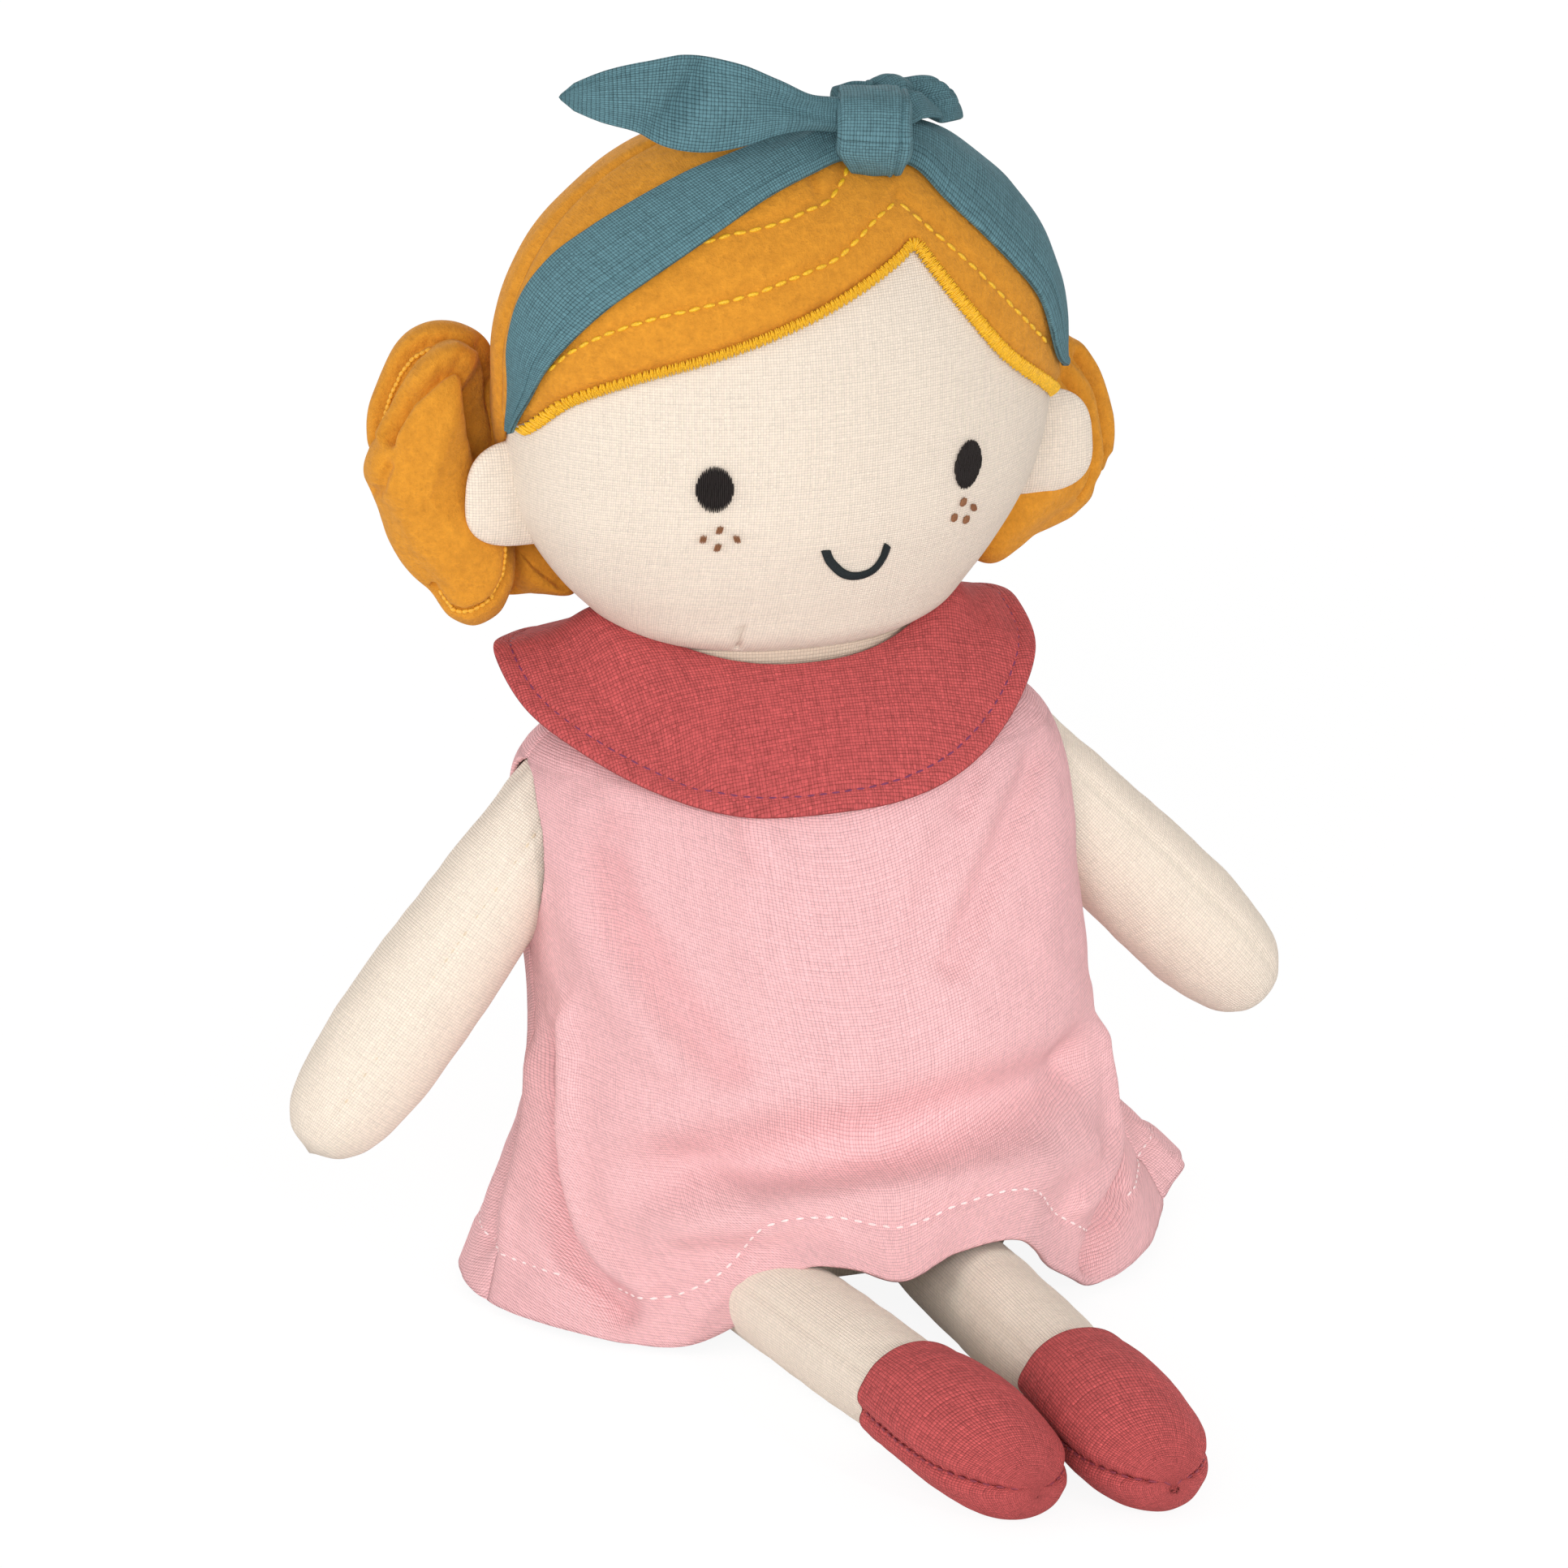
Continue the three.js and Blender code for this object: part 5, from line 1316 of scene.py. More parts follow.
def dress_point(t, v):
    """The dress's outer face: t goes round it from the left side seam, and v from the neck to the hem."""
    rings = [spline(level, t, closed=True) for level in DRESS_LEVELS]
    rings = np.stack([2 * rings[0] - rings[1], *rings, 2 * rings[-1] - rings[-2]])
    p = (len(DRESS_LEVELS) - 1) * v
    start = np.clip(np.floor(p).astype(int), 0, len(DRESS_LEVELS) - 2)
    each = np.arange(len(t))
    return bend(*(rings[start + k, each] for k in range(4)), (p - start)[:, None])


def panel_side(t_seam, sign, rows):
    """How far each row's edge moves from the side seam, so that the panel ends at the armhole."""
    tries = np.linspace(0, 0.2, 90)
    y0, z0, half_y, half_z = ARMHOLE
    moved = []
    for v in rows:
        points = dress_point((t_seam + sign * tries) % 1.0, np.full(len(tries), v))
        within = ((points[:, 1] - y0) / half_y) ** 2 + ((points[:, 2] - z0) / half_z) ** 2 < 1
        moved.append(tries[np.argmax(~within)] if within[0] else 0.0)
    return np.array(moved)


def hem_length(t):
    """Millimetres of cloth for the last tenth of the dress's rows."""
    return np.linalg.norm(dress_point(t, np.ones_like(t)) - dress_point(t, np.full_like(t, 0.9)), axis=-1)


# Each panel: its two sides, how far it laps under the other, grid columns, flat size and area in metres.
DRESS_PANELS = {
    "front": (0.0, RIGHT_SEAM, 0.0, 260, (0.19, 0.14), 0.0195),
    "back": (RIGHT_SEAM, 1.0, 0.006, 160, (0.14, 0.135), 0.0175),
}
DRESS_MIDDLE = (0, DRESS_Y, 60)


def girths_at(rows):
    """Millimetres of cloth round the dress at each row."""
    ring = np.linspace(0, 1, 120)
    girths = []
    for v in rows:
        steps = np.diff(dress_point(ring % 1.0, np.full_like(ring, v)), axis=0)
        girths.append(np.linalg.norm(steps, axis=1).sum())
    return girths


def fall_table(across):
    """Millimetres of cloth from the neck down, on 41 lines of 101 points down a panel."""
    u, v = np.meshgrid(np.linspace(0, 1, 41), np.linspace(0, 1, 101), indexing="ij")
    grid = dress_point(across(u.ravel(), v.ravel()) % 1.0, v.ravel()).reshape(41, 101, 3)
    fall = np.zeros((41, 101))
    fall[:, 1:] = np.cumsum(np.linalg.norm(np.diff(grid, axis=1), axis=-1), axis=1)
    return fall


def make_panel(part):
    start, end, lap, columns, size, area = DRESS_PANELS[part]
    rows = np.linspace(0, 1, 201)
    first, last = panel_side(start, 1, rows), panel_side(end, -1, rows)
    girths = girths_at(rows[::5])

    def across(u, v):
        """The turn round the dress at a share u of the panel's width."""
        from_start, from_end = np.interp(v, rows, first), np.interp(v, rows, last)
        a = start + from_start - lap * (from_start == 0)
        b = end - from_end + lap * (from_end == 0)
        return a + u * (b - a)

    fall = fall_table(across)

    def place(u, v):
        t, step = across(u, v), 0.004
        base = dress_point(t % 1.0, v)
        side = dress_point((t + step) % 1.0, v) - dress_point((t - step) % 1.0, v)
        below, above = (dress_point(t % 1.0, np.clip(v + e, 0, 1)) for e in (step, -step))
        out = unit(np.cross(side, below - above))
        rise = dress_folds(base, v, (1 - v) * hem_length(t % 1.0) * 10)
        rise = rise - 0.5 * ridge(np.minimum(np.abs(t - start), np.abs(t - end)), 0.0035)
        if lap:
            under = smooth(start + 0.003, start - 0.003, t) + smooth(end - 0.003, end + 0.003, t)
            rise = rise - 0.9 * under
        points = base + out * rise[..., None]
        points[..., 2] -= 1.7 * smooth(0.86, 1.0, v) * ridge(t - 0.32, 0.12)
        return points

    def cloth(u, v):
        column, row = np.clip(u, 0, 1) * 40, np.clip(v, 0, 1) * 100
        i, j = np.minimum(column.astype(int), 39), np.minimum(row.astype(int), 99)
        left, right = (fall[k, j] + (fall[k, j + 1] - fall[k, j]) * (row - j) for k in (i, i + 1))
        down = left + (right - left) * (column - i)
        aside = (across(u, v) - (start + end) / 2) * np.interp(v, rows[::5], girths)
        return np.stack([aside, down], -1)

    piece = grid_piece(
        f"dress_{part}_cloth", columns, 180, place, PINK, cloth,
        inside=DRESS_MIDDLE, thickness=DRESS_CLOTH,
    )
    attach(piece, "torso")
    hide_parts(f"dress_{part}")
    u, step = np.linspace(0, 1, 360), 0.01
    v = 1 - HEM_FOLD / (hem_length(across(u, np.ones(360)) % 1.0) * 10)
    points = place(u, v)
    outs = unit(np.cross(place(u, v + step) - place(u, v - step), np.gradient(points, axis=0)))
    outs = outs * np.sign(((points - DRESS_MIDDLE) * outs).sum(-1, keepdims=True))
    made = running_stitches(points + outs * 0.2, outs, 2.9, 0.55, 0.27, 0.24)
    hem = stitches_piece(f"dress_{part}_hem", made, PALE_THREAD)
    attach(hem, "torso")


# Each fold: height, half width, and points near its course.
FOLD_COURSES = [
    (4.0, 3.0, [(-52, 2, 70), (-51, 2, 55), (-52, 1, 42), (-52, 0, 31), (-52, -3, 23), (-50, -10, 16),
                (-44, -18, 11)]),
    (-6.8, 3.8, [(-53, 11, 62), (-53, 9, 45), (-55, 7, 32), (-55, 2, 22), (-53, -7, 14), (-47, -15, 8)]),
    (2.4, 3.0, [(-52, 20, 56), (-54, 19, 40), (-57, 17, 26), (-61, 13, 13)]),
    (-2.2, 3.0, [(-54, 29, 44), (-58, 27, 28), (-65, 22, 12)]),
    (-6.2, 4.6, [(-49, 3, 105), (-45, -1, 96), (-44, -4, 87), (-39, -9, 76), (-33, -15, 66),
                 (-26, -20, 56)]),
    (1.8, 4.0, [(-52, 8, 90), (-47, 0, 78), (-41, -6, 66), (-34, -12, 56)]),
    (-1.8, 4.5, [(31, -4, 104), (22, -9, 91), (16, -15, 76)]),
    (-3.6, 3.6, [(50, 8, 111), (40, -4, 97), (30, -11, 82), (22, -16, 72)]),
    (1.6, 5.0, [(52, 6, 98), (46, -2, 84), (40, -8, 70)]),
    (-9.2, 6.4, [(-49, -8, 28), (-41, -16, 35), (-28, -25, 39), (-13, -28, 41), (4, -29, 42), (21, -27, 44),
                 (43, -20, 45), (52, -12, 46)]),
    (3.6, 5.0, [(-46, -13, 18), (-35, -22, 27), (-15, -32, 30), (11, -33, 31), (37, -26, 31),
                (50, -15, 30)]),
    (-1.6, 2.6, [(-42, -17, 20), (-28, -27, 22), (-12, -37, 26)]),
    (3.8, 3.0, [(60, 0, 54), (62, -1, 38), (60, -4, 27), (54, -12, 22), (46, -21, 19)]),
    (-6.0, 3.6, [(66, 10, 46), (68, 8, 30), (64, -4, 19), (55, -14, 12), (50, -19, 8)]),
    (2.6, 4.0, [(72, 26, 26), (79, 20, 12), (82, 22, 8)]),
    (-2.4, 2.6, [(-42, 3, 110), (-42, -1, 102)]),
    (-2.4, 2.8, [(34, 1, 110), (28, -5, 100)]),
    (-1.6, 2.2, [(-20, -4, 106), (-16, -9, 94)]),
    (-3.4, 5.0, [(-30, 46, 100), (-32, 48, 70), (-36, 58, 30), (-40, 64, 8)]),
    (2.8, 5.0, [(-14, 46, 90), (-13, 50, 60), (-12, 62, 30), (-12, 70, 8)]),
    (-3.8, 5.5, [(10, 44, 104), (12, 50, 66), (16, 60, 34), (20, 70, 8)]),
    (3.0, 5.0, [(30, 44, 90), (34, 48, 60), (44, 56, 30), (52, 66, 8)]),
    (-3.2, 5.0, [(50, 36, 80), (52, 38, 52), (66, 46, 24), (74, 52, 8)]),
    (2.2, 4.0, [(-48, 38, 60), (-54, 44, 30), (-58, 50, 8)]),
]


def on_dress(course):
    """The course of a fold, drawn onto the dress."""
    t, v = np.meshgrid(np.linspace(0, 1, 300, endpoint=False), np.linspace(0, 1, 140))
    cloth = dress_point(t.ravel(), v.ravel())
    wanted = spline(np.array(course, float), np.linspace(0, 1, len(course) + 2))
    drawn = [cloth[np.argmin(((cloth - step) ** 2).sum(-1))] for step in wanted]
    return np.array([drawn[0]] + [b for a, b in zip(drawn, drawn[1:]) if np.linalg.norm(b - a) > 0.5])


DRESS_FOLDS = [(height * 0.85, width, on_dress(course)) for height, width, course in FOLD_COURSES]


def dress_folds(points, v, from_hem):
    """Raised and sunk folds of the dress, in millimetres outwards."""
    low = smooth(0.3, 0.9, v)
    made = 0.9 * wobble(points, 22.0, 3.0) * (0.35 + low) + 0.35 * wobble(points, 8.0, 6.0)
    crinkle = wobble(points * (1.0, 1.0, 0.35), 2.4, 1.0)
    made = made + 0.14 * crinkle + folds_at(points, DRESS_FOLDS) * smooth(0.0, 0.12, v)
    pucker = 1 + 0.4 * wobble(points, 3.0, 2.0)
    doubled = 0.4 * smooth(HEM_FOLD, HEM_FOLD - 1.4, from_hem)
    return made - 0.5 * ridge(from_hem - HEM_FOLD, 0.8) * pucker + doubled


# Headband and bow

BAND = np.array([
    [(-0.985, -0.19, 0.462), (-0.99, -0.15, 0.466)], [(-0.95, -0.311, 0.536), (-0.987, -0.161, 0.545)],
    [(-0.914, -0.391, 0.596), (-0.98, -0.136, 0.62)], [(-0.852, -0.477, 0.653), (-0.944, -0.13, 0.7)],
    [(-0.735, -0.572, 0.724), (-0.864, -0.202, 0.79)], [(-0.611, -0.636, 0.777), (-0.74, -0.3, 0.85)],
    [(-0.478, -0.668, 0.825), (-0.6, -0.355, 0.895)], [(-0.335, -0.665, 0.87), (-0.45, -0.38, 0.935)],
    [(-0.183, -0.627, 0.91), (-0.27, -0.38, 0.965)], [(-0.025, -0.575, 0.937), (-0.07, -0.33, 0.992)],
    [(0.1, -0.52, 0.952), (0.1, -0.26, 1.0)], [(0.24, -0.5, 0.95), (0.26, -0.2, 0.99)],
    [(0.36, -0.5, 0.93), (0.45, -0.1, 0.965)], [(0.45, -0.6, 0.875), (0.6, -0.05, 0.935)],
    [(0.56, -0.635, 0.81), (0.72, -0.08, 0.88)], [(0.678, -0.621, 0.74), (0.8, -0.12, 0.83)],
    [(0.795, -0.56, 0.66), (0.9, -0.1, 0.75)], [(0.843, -0.53, 0.595), (0.96, -0.08, 0.66)],
    [(0.885, -0.46, 0.535), (0.99, -0.06, 0.57)], [(0.985, -0.2, 0.485), (1, -0.05, 0.495)],
])
BAND_KNOT, BAND_LENGTH = 0.58, 210


def band_point(u, across, rise):
    front, back = spline(BAND[:, 0], u), spline(BAND[:, 1], u)
    way = front + (back - front) * across[..., None]
    return on_head(way, FELT_TOP + GAP + rise)


def make_headband():
    def surface(v):
        loop = 2 * math.pi * v
        across = np.clip(0.5 - 0.5 * squared(np.cos(loop), 2.8), 0.0, 1.0)
        top = squared(np.sin(loop), 5.0)
        return across, 0.5 + 0.5 * top

    def place(u, v):
        across, top = surface(v)
        near_knot = ridge(u - BAND_KNOT, 0.10)
        gathers = near_knot * 1.1 * (0.5 - 0.5 * np.cos(across * 2 * math.pi * 2.5))
        edge = 0.22 - 0.06 * near_knot
        line = 0.55 * ridge(across - edge, 0.022) - 0.35 * smooth(edge + 0.03, edge - 0.03, across)
        slack = 0.3 * wobble(np.stack([u * BAND_LENGTH, across * 14, 0 * u], -1), 9.0, 4.0)
        puff = 1.9 * np.sin(math.pi * across) * ridge(u - BAND_KNOT, 0.075)
        rise = top * (1.5 + gathers - line + slack + puff) + 0.02
        return band_point(u, across, rise)

    def cloth(u, v):
        return np.stack([u * BAND_LENGTH, surface(v)[0] * 15 + (v > 0.5) * 40], -1)

    piece = grid_piece("headband_cloth", 260, 56, place, TEAL, cloth, inside=HEAD_MIDDLE)
    close_tube(piece)
    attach(piece, "head")
    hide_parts("headband")


KNOT = np.array([12.5, 5.8, 235.5])
KNOT_HALF = np.array([7.4, 8.6, 8.4])
KNOT_TURN = math.radians(-17)


def make_knot():
    """The middle of the bow: a folded strip of the band's cloth wrapped once round it."""
    def place(u, v):
        angle = 2 * math.pi * u
        along = np.clip((v - 0.5) / 0.40, -1, 1)
        closing = np.clip(np.minimum(v, 1 - v) / 0.10, 0, 1)
        swell = 0.95 + 0.07 * (1 - along**2) - 0.28 * smooth(0.86, 1.0, np.abs(along))
        groove = along - 0.66 - 0.05 * np.sin(angle)
        swell = swell - 0.05 * ridge(groove, 0.035) + 0.03 * ridge(groove + 0.12, 0.07)
        swell = swell * np.sin(closing * QUARTER)
        x = along * KNOT_HALF[0] - np.sign(along) * (1 - closing) * 1.5
        y = -squared(np.cos(angle), 2.3) * KNOT_HALF[1] * swell
        z = squared(np.sin(angle), np.where(np.sin(angle) > 0, 2.7, 2.05)) * KNOT_HALF[2] * swell
        low = smooth(-2.0, -8.0, z)
        x = x * (1 - 0.26 * low) + 0.8 * low
        c, n = math.cos(KNOT_TURN), math.sin(KNOT_TURN)
        points = KNOT + np.stack([c * x - n * y + 0.05 * z, n * x + c * y, z - 0.05 * x], -1)
        lump = (0.4 * wobble(points, 5.5) + 0.15 * wobble(points, 2.5, 2.0)) * closing
        return points + unit(points - KNOT) * lump[..., None]

    def cloth(u, v):
        return np.stack([v * 19, u * 52], -1)

    piece = grid_piece("bow_knot_cloth", 130, 100, place, TEAL, cloth, around=True, inside=KNOT)
    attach(piece, "head")
    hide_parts("bow_knot")


# Each row: the middle of the tail, then its half width. Each crease: rise, where it crosses the lower and the
# upper edge as shares of the length, half width along the tail, then its middle and reach across the tail.
RIGHT_TAIL = np.array([
    (9.5, 6.4, 238.4, 3.4), (4.5, 6.2, 239.4, 3.4), (-0.7, 6.5, 240.2, 3.6), (-7.1, 7.3, 241.4, 5.6),
    (-13.4, 8.2, 242.1, 7.9), (-20.5, 9.3, 242.8, 9.2), (-26.7, 10.3, 243.8, 9.0),
    (-32.9, 11.5, 244.8, 6.9),
    (-40.7, 13.0, 245.2, 4.8), (-48.5, 15.0, 245.4, 1.4),
])
RIGHT_CREASES = [
    (-3.4, 0.72, 0.56, 0.05, 0.1, 1.0), (1.7, 0.58, 0.42, 0.10, -0.2, 0.8),
    (1.2, 0.84, 0.72, 0.07, 0.0, 0.9),
    (-1.5, 0.20, 0.38, 0.10, 0.2, 0.35), (1.0, 0.15, 0.3, 0.12, 0.75, 0.3),
    (0.9, 0.15, 0.3, 0.12, -0.6, 0.3),
]
LEFT_TAIL = np.array([
    (6.5, 12.5, 240.0, 2.5), (10.0, 12.5, 240.4, 3.6), (14.0, 12.0, 238.8, 5.2), (18.2, 13.0, 238.9, 5.8),
    (24.0, 17.5, 238.4, 5.6), (30.0, 22.5, 236.6, 5.0), (35.0, 26.8, 234.2, 4.4), (39.6, 30.5, 232.0, 2.8),
])
LEFT_CREASES = [
    (-3.1, 0.50, 0.36, 0.045, 0.1, 0.9), (2.0, 0.36, 0.24, 0.06, 0.3, 0.7),
    (2.0, 0.62, 0.5, 0.06, 0.3, 0.8),
    (-2.8, 0.80, 0.66, 0.045, 0.0, 0.9), (1.8, 0.92, 0.8, 0.05, 0.2, 0.8),
    (-2.0, 0.65, 0.65, 0.2, 0.15, 0.2),
    (-1.6, 0.22, 0.12, 0.05, 0.3, 0.8),
]


def make_tail(name, course, facing, creases):
    """A tail of the bow: a flat sewn tube of cloth along a course."""
    def place(u, v):
        here = spline(course, v)
        after, before = (spline(course, np.clip(v + step, 0, 1)) for step in (0.01, -0.01))
        ahead = unit((after - before)[..., :3])
        through = np.broadcast_to(np.asarray(facing, float), ahead.shape)
        through = unit(through - ahead * (through * ahead).sum(-1, keepdims=True))
        side = unit(np.cross(through, ahead))
        side = side * np.sign(side[..., 2:3])
        closing = np.sqrt(np.clip(np.minimum(1 - v, v) / 0.04, 0, 1))
        angle = 2 * math.pi * u
        w, h = squared(np.cos(angle), 2.2), squared(np.sin(angle), 3.2)
        thick = 1.15 + 1.9 * ridge(v, 0.13) - 0.5 * ridge(w - 0.74, 0.05) * smooth(0.05, 0.15, v)
        folded = np.zeros_like(v)
        for height, low, high, width, middle, reach in creases:
            off = v - low - (high - low) * (w + 1) / 2
            folded += height * ridge(off, width) * ridge(w - middle, reach)
        fine = 0.5 * wobble(here[..., :3] + side * (w * 8)[..., None], 6.0, 3.0)
        offset = h * thick + folded + fine
        return (here[..., :3] + side * (w * here[..., 3] * closing)[..., None]
                + through * (offset * closing)[..., None])

    def cloth(u, v):
        return np.stack([np.cos(2 * math.pi * u) * 8.5 + (u > 0.5) * 40, v * 56], -1)

    piece = grid_piece(
        f"bow_{name}_tail_cloth", 96, 170, place, TEAL, cloth, around=True, inside=course[4, :3]
    )
    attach(piece, name + "_tail")
    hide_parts(f"bow_{name}_tail")


# Buns

BUN_MIDDLE = {
    side: np.array([x, NECK_Y + 15, HEAD_BASE[2] + 31.7]) for side, x in ((-1, 66.5), (1, 65.0))
}
BUN_TURN = math.radians(20)
RIGHT_LOBE = np.array([
    (5.2, 28.4, 0), (8.2, 26.3, 1), (10.0, 21.8, 3), (10.4, 16.6, 4), (11.8, 9.5, 5), (13.4, 0, 5),
    (15.4, -8.5, 3), (16.3, -15.3, 1), (15.5, -21.2, 0), (12.9, -25.8, 0), (8.4, -28.5, 0), (3.8, -27.0, 0),
    (0.0, -22.3, 0), (-4.2, -18.3, 0), (-7.6, -13.6, 0), (-9.4, -8.5, 0), (-11.4, -3.0, 0), (-13.4, 1.7, 0),
    (-12.3, 6.7, 0), (-9.6, 11.2, 0), (-7.0, 15.6, 0), (-4.2, 20.6, 0), (-1.3, 24.8, 0), (1.7, 27.5, 0),
])
RIGHT_LOOP = np.array([
    (12.6, 21.5, 3), (11.0, 26.0, 1), (7.3, 29.2, 0), (2.4, 30.3, 0), (-2.6, 29.0, 0), (-6.6, 26.0, 0),
    (-10.0, 20.4, 0), (-11.9, 15.0, 0), (-12.8, 9.0, 0), (-12.4, 4.5, 0), (-9.5, 0, 1), (-2, -2, 2),
    (6, 2, 4),
    (10.0, 9.5, 6), (12.2, 15.0, 5),
])
RIGHT_TUCK = np.array([
    (13, -6, 3), (21.0, -9.0, 3), (26, -13.5, 3), (29.0, -18.5, 2), (29.4, -22.5, 1), (27.6, -25.2, 0),
    (21.3, -25.2, 0), (14.9, -25.6, 0), (7, -24, 0), (7, -12, 1),
])
LEFT_LOBE = np.array([
    (7, 16, 1), (2.5, 14.5, 1), (-2.5, 9.5, 0), (-5.2, 2.5, 0), (-6.4, -5, 0), (-6.0, -11.5, 0),
    (-4.8, -16.8, 0), (-1.0, -19.6, 0), (3.5, -21.0, 0), (10, -22.6, 0), (16, -24.8, 0),
    (20.6, -26.0, 0), (23.4, -24.0, 0),
    (24, -16, 1), (20, -4, 3), (16, 6, 3), (12, 13, 2),
])
LEFT_LOOP = np.array([
    (6, 18.6, 1), (2, 18.4, 1), (-3.2, 16.9, 0), (-8.6, 11.2, 0), (-12.1, 4, 0), (-13.8, -1.6, 0),
    (-14.1, -8, 0), (-13.1, -12.8, 0), (-11.0, -16.0, 0), (-6.5, -17.4, 0), (0, -15, 1), (8, -6, 2),
    (10, 8, 3), (9, 15, 2),
])
ROOT = np.array([
    (12, 20, 0), (22, 17, 0), (27, 7, 0), (28, -6, 0), (24, -16, 0), (12, -18, 0), (4, -8, 0),
    (2, 4, 0), (5, 14, 0),
])


def bun_point(side, across, up, behind):
    """A point of a bun: millimetres towards the head, upwards, and away from the face."""
    c, n = math.cos(BUN_TURN), math.sin(BUN_TURN)
    across, up, behind = np.broadcast_arrays(across, up, behind)
    middle = BUN_MIDDLE[side]
    x = -middle[0] + c * across + n * behind
    y = middle[1] - n * across + c * behind
    return np.stack([-side * x, y, middle[2] + up], -1)


def make_cushion(name, side, outline, behind, half, folds, plump, middle, replaced):
    """A stuffed felt shape with the given outline in the bun's own plane."""
    ring = outline + (0, 0, behind)

    def place(u, v):
        tilt = math.pi * v
        out = spline(ring, u, closed=True)
        share = np.sin(tilt) ** 0.9
        through = squared(np.cos(tilt), plump)
        a = middle[0] + (out[..., 0] - middle[0]) * share
        b = middle[1] + (out[..., 1] - middle[1]) * share
        c = behind + (out[..., 2] - behind) * share - through * half
        points = bun_point(side, a, b, c)
        away = unit(points - bun_point(side, middle[0], b * 0.6 + middle[1] * 0.4, behind))
        rise = 0.6 * wobble(points, 13.0, side * 2.0) + 0.22 * wobble(points, 5.0, 5.0)
        for height, width, facing, course in folds:
            seen = smooth(-0.1, 0.25, through * facing)
            rise = rise + height * ridge(distance_to_line(a, b, course), width) * seen
        return points + away * rise[..., None]

    columns, rows = (240, 160) if folds else (110, 80)
    piece = grid_piece(name, columns, rows, place, FELT, around=True, inside=bun_point(side, *middle, behind))
    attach(piece, "head")
    if replaced:
        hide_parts(*replaced)
    return piece


# Each fold: rise, half width, 1 for the face's side or -1 for the back, and its course in the bun's plane.
RIGHT_LOBE_FOLDS = [
    (-3.4, 0.85, 1, [(-7.8, 10.6), (-6.5, 13.3), (-3.4, 18.7), (0.1, 22.1), (3.2, 24.8), (5.6, 25.6),
                     (7.2, 24.0), (7.8, 20.5), (8.2, 16.0), (9.0, 12.0)]),
    (1.5, 1.5, 1, [(-9.4, 10.8), (-8.2, 14.0), (-5.4, 18.8), (-2.2, 23.2), (1.6, 26.4), (5.0, 27.6),
                   (8.4, 25.6)]),
    (1.3, 2.4, 1, [(-5.0, 12.0), (-1.4, 17.4), (2.4, 21.0), (5.0, 21.0), (5.6, 15.0)]),
    (-6.0, 2.0, 1, [(9.6, 21.0), (9.8, 17.0), (10.8, 11.0), (12.2, 5.0)]),
    (-2.4, 0.8, 1, [(15.6, -8.0), (15.4, -12.0), (14.5, -16.5), (12.6, -20.4), (9.9, -22.9), (6.6, -24.2),
                    (3.2, -23.4), (0.8, -20.2)]),
    (0.8, 1.6, 1, [(13.6, -9.0), (12.4, -16.0), (9.6, -20.4), (6.4, -21.6)]),
    (-1.1, 2.4, 1, [(-11.6, 2.0), (-9.0, -5.0), (-4.6, -12.6), (1.0, -19.0)]),
    (-1.6, 1.2, 1, [(-13.0, -1.4), (-10.4, 1.2), (-8.4, 6.0)]),
    (-1.6, 2.4, -1, [(-9, 12), (-4, 0), (3, -12), (9, -22)]),
]
RIGHT_LOOP_FOLDS = [
    (-2.0, 0.8, 1, [(7.4, 26.0), (3.6, 28.0), (-0.4, 27.6), (-4.0, 25.6), (-7.2, 21.8), (-9.4, 17.0),
                    (-10.9, 12.0), (-11.4, 7.5)]),
    (-1.6, 1.8, 1, [(10.6, 26.0), (11.0, 21.0), (10.4, 15.0)]),
    (-1.5, 2.0, -1, [(10, 22), (0, 25), (-8, 17), (-10, 6)]),
]
RIGHT_TUCK_FOLDS = [
    (-1.8, 1.1, 1, [(17, -13), (21, -18), (26, -22.5)]), (-3.0, 2.4, 1, [(15.5, -10), (16.5, -24)]),
]
LEFT_LOBE_FOLDS = [
    (-2.2, 1.1, 1, [(4.0, 11.0), (0.6, 5.5), (-1.6, -2.0), (-1.8, -9.0), (0.4, -14.0)]),
    (1.1, 2.0, 1, [(1.6, 12.0), (-2.4, 6.0), (-4.4, -2.0), (-4.2, -10.0)]),
    (-1.0, 2.4, 1, [(2.0, -16.0), (9.0, -19.0), (17.0, -21.0)]),
    (-1.4, 2.4, -1, [(14, 8), (8, -8), (10, -20)]),
]
LEFT_LOOP_FOLDS = [
    (-2.4, 1.0, 1, [(-3.4, 13.0), (-7.4, 6.0), (-9.2, -1.0), (-9.4, -8.0), (-7.6, -14.0)]),
    (1.0, 1.6, 1, [(-5.4, 13.0), (-9.6, 6.0), (-11.6, -1.0), (-11.6, -8.0)]),
    (-3.0, 0.8, 1, [(-14.4, -14.6), (-10.8, -14.2), (-7.4, -13.4)]),
    (-2.0, 0.8, -1, [(-14.4, -14.6), (-10.0, -14.0), (-4.0, -13.0)]),
    (-1.6, 2.0, -1, [(4, 14), (-6, 8), (-9, -4), (-6, -12)]),
]
RIGHT_LOBE_THREAD = [
    (15.6, -8.0, -7), (15.4, -12.0, -7), (14.5, -16.5, -8), (12.6, -20.4, -8), (9.9, -22.9, -8),
    (6.6, -24.2, -8), (3.2, -23.4, -8), (0.8, -20.2, -8),
]
RIGHT_LOOP_THREAD = [
    (1.4, 27.9, 0), (-2.0, 27.0, 0), (-5.4, 24.3, 0), (-8.4, 19.7, 0), (-10.4, 13.4, 0), (-11.3, 8.2, 0),
]
LEFT_LOOP_THREAD = [(-9.4, -8.0, -3), (-8.8, -11.5, -3), (-7.4, -15.5, -2)]
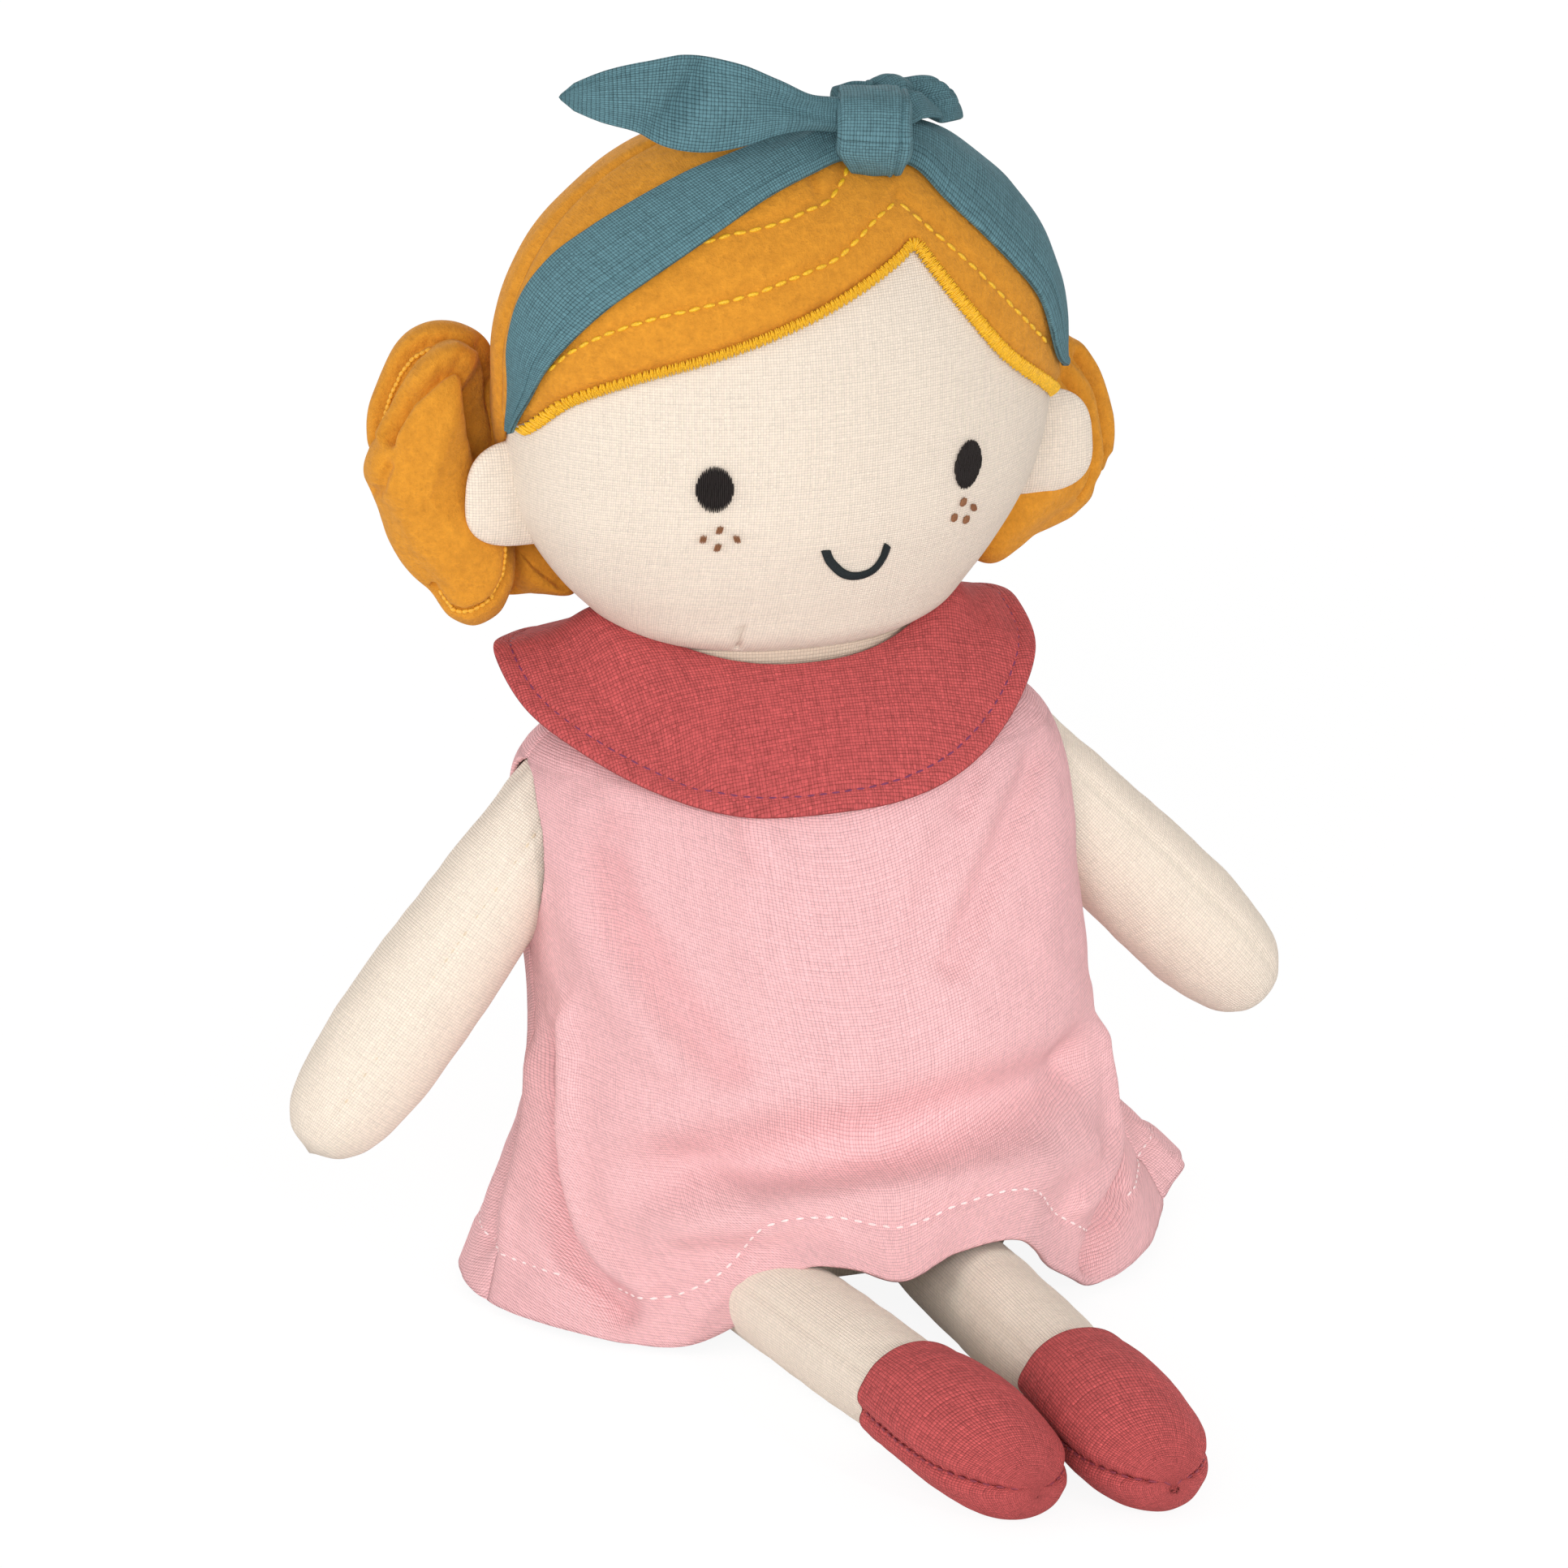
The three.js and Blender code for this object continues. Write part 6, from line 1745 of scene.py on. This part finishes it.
# Each cushion: name, outline, how far behind the bun's plane, half thickness, folds, plumpness, middle,
# solids it replaces, thread.
BUNS = {
    "right": (-1, [
        ("roll", RIGHT_LOBE, 0.0, 13.0, RIGHT_LOBE_FOLDS, 2.4, (0.0, 0.0),
         ["right_bun_lobe"], RIGHT_LOBE_THREAD),
        ("loop", RIGHT_LOOP, 8.0, 7.5, RIGHT_LOOP_FOLDS, 2.6, (-1.0, 14.0),
         ["right_bun_wrap"], RIGHT_LOOP_THREAD),
        ("tuck", RIGHT_TUCK, 8.0, 5.5, RIGHT_TUCK_FOLDS, 2.2, (16.0, -19.0), [], None),
        ("root", ROOT, 12.0, 7.0, [], 2.2, (15.0, 1.0), [], None),
    ]),
    "left": (1, [
        ("roll", LEFT_LOBE, -1.0, 10.0, LEFT_LOBE_FOLDS, 2.4, (6.0, -5.0), ["left_bun_lobe"], None),
        ("loop", LEFT_LOOP, 3.0, 8.0, LEFT_LOOP_FOLDS, 2.5, (-2.0, 0.0),
         ["left_bun_wrap"], LEFT_LOOP_THREAD),
        ("root", ROOT, 11.0, 7.0, [], 2.2, (15.0, 1.0), [], None),
    ]),
}


def make_buns():
    for name, (side, cushions) in BUNS.items():
        made = []
        for part, *shape, thread in cushions:
            piece = make_cushion(f"{name}_bun_{part}", side, *shape)
            if thread:
                points, outs = laid_on(piece, [bun_point(side, *step) for step in thread], 0.2)
                made += running_stitches(points, outs, 1.2, 1.1, 0.5, 0.42)
        seam = stitches_piece(f"{name}_bun_stitching", made, DULL_GOLD)
        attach(seam, "head")


# Floor, background and lamps


def directly_seen(tree):
    """1 for the rays that show a surface to the camera, also by way of a gloss or through a cloth."""
    rays = tree.nodes.new("ShaderNodeLightPath").outputs
    seen = math_node(tree, "MAXIMUM", rays["Is Camera Ray"], rays["Is Glossy Ray"])
    return math_node(tree, "MAXIMUM", seen, rays["Is Transmission Ray"])


def mixed_into(tree, output, share, first, second):
    """Mixes two shaders by a share, into the surface of an output."""
    mix = tree.nodes.new("ShaderNodeMixShader")
    for socket, source in zip(mix.inputs, (share, first.outputs[0], second.outputs[0])):
        tree.links.new(source, socket)
    tree.links.new(mix.outputs[0], tree.nodes[output].inputs["Surface"])


def stage():
    bpy.ops.mesh.primitive_circle_add(vertices=96, radius=6.0, fill_type="NGON", location=(0, 0, -0.0003))
    floor = bpy.context.object
    floor.name = "floor"
    material = bpy.data.materials.new("floor_white")
    material.use_nodes = True
    tree = material.node_tree
    shader = tree.nodes["Principled BSDF"]
    set_values(shader, {"Base Color": (0.86, 0.86, 0.86, 1), "Roughness": 0.9, "Specular IOR Level": 0.0})
    glow = tree.nodes.new("ShaderNodeEmission")
    set_values(glow, {"Color": (1, 1, 1, 1), "Strength": 1.06})
    share = math_node(tree, "MULTIPLY", directly_seen(tree), 0.86)
    mixed_into(tree, "Material Output", share, shader, glow)
    floor.data.materials.append(material)

    world = bpy.data.worlds.new("studio")
    bpy.context.scene.world = world
    world.use_nodes = True
    tree = world.node_tree
    soft = tree.nodes["Background"]
    set_values(soft, {"Color": (1, 0.99, 0.98, 1), "Strength": 0.45})
    white = tree.nodes.new("ShaderNodeBackground")
    set_values(white, {"Color": (1, 1, 1, 1), "Strength": 1.0})
    mixed_into(tree, "World Output", directly_seen(tree), soft, white)


def lamp(name, place, aim, power, kind="AREA", **settings):
    data = bpy.data.lights.new(name, kind)
    data.energy = power
    for setting, value in settings.items():
        setattr(data, setting, value)
    lamp_object = bpy.data.objects.new(name, data)
    lamp_object.location = place
    way = Vector(aim) - Vector(place)
    lamp_object.rotation_euler = way.to_track_quat("-Z", "Y").to_euler()
    bpy.context.scene.collection.objects.link(lamp_object)


LAMP_AIM = (0, 0, 0.11)

make_face()
make_front_hair()
make_back_hair()
satin_hairline()
hair_stitching()
make_eyes()
make_smile()
make_ear("right")
make_ear("left")
make_headband()
make_knot()
make_tail("right", RIGHT_TAIL, (-0.25, -0.95, 0.2), RIGHT_CREASES)
make_tail("left", LEFT_TAIL, (-0.35, -0.75, 0.55), LEFT_CREASES)
make_buns()
make_torso()
make_neck()
make_collar()
make_panel("front")
make_panel("back")
make_arm("right")
make_arm("left")
make_leg("right")
make_leg("left")
stage()
lamp("key", (-0.9, -2.1, 0.75), LAMP_AIM, 28.2, size=1.3)
lamp("side", (-1.9, -0.2, 0.6), LAMP_AIM, 12.5, size=1.2)
lamp("fill", (1.3, -1.5, 0.4), LAMP_AIM, 7.5, size=1.2)
lamp("behind", (0.7, 2.2, 0.6), LAMP_AIM, 23.0, size=1.2)
lamp(
    "low", (0.7, -2.0, 0.7), (0.045, -0.075, 0.02), 130.0, "SPOT",
    spot_size=math.radians(7.5), spot_blend=1.0, shadow_soft_size=0.15,
)
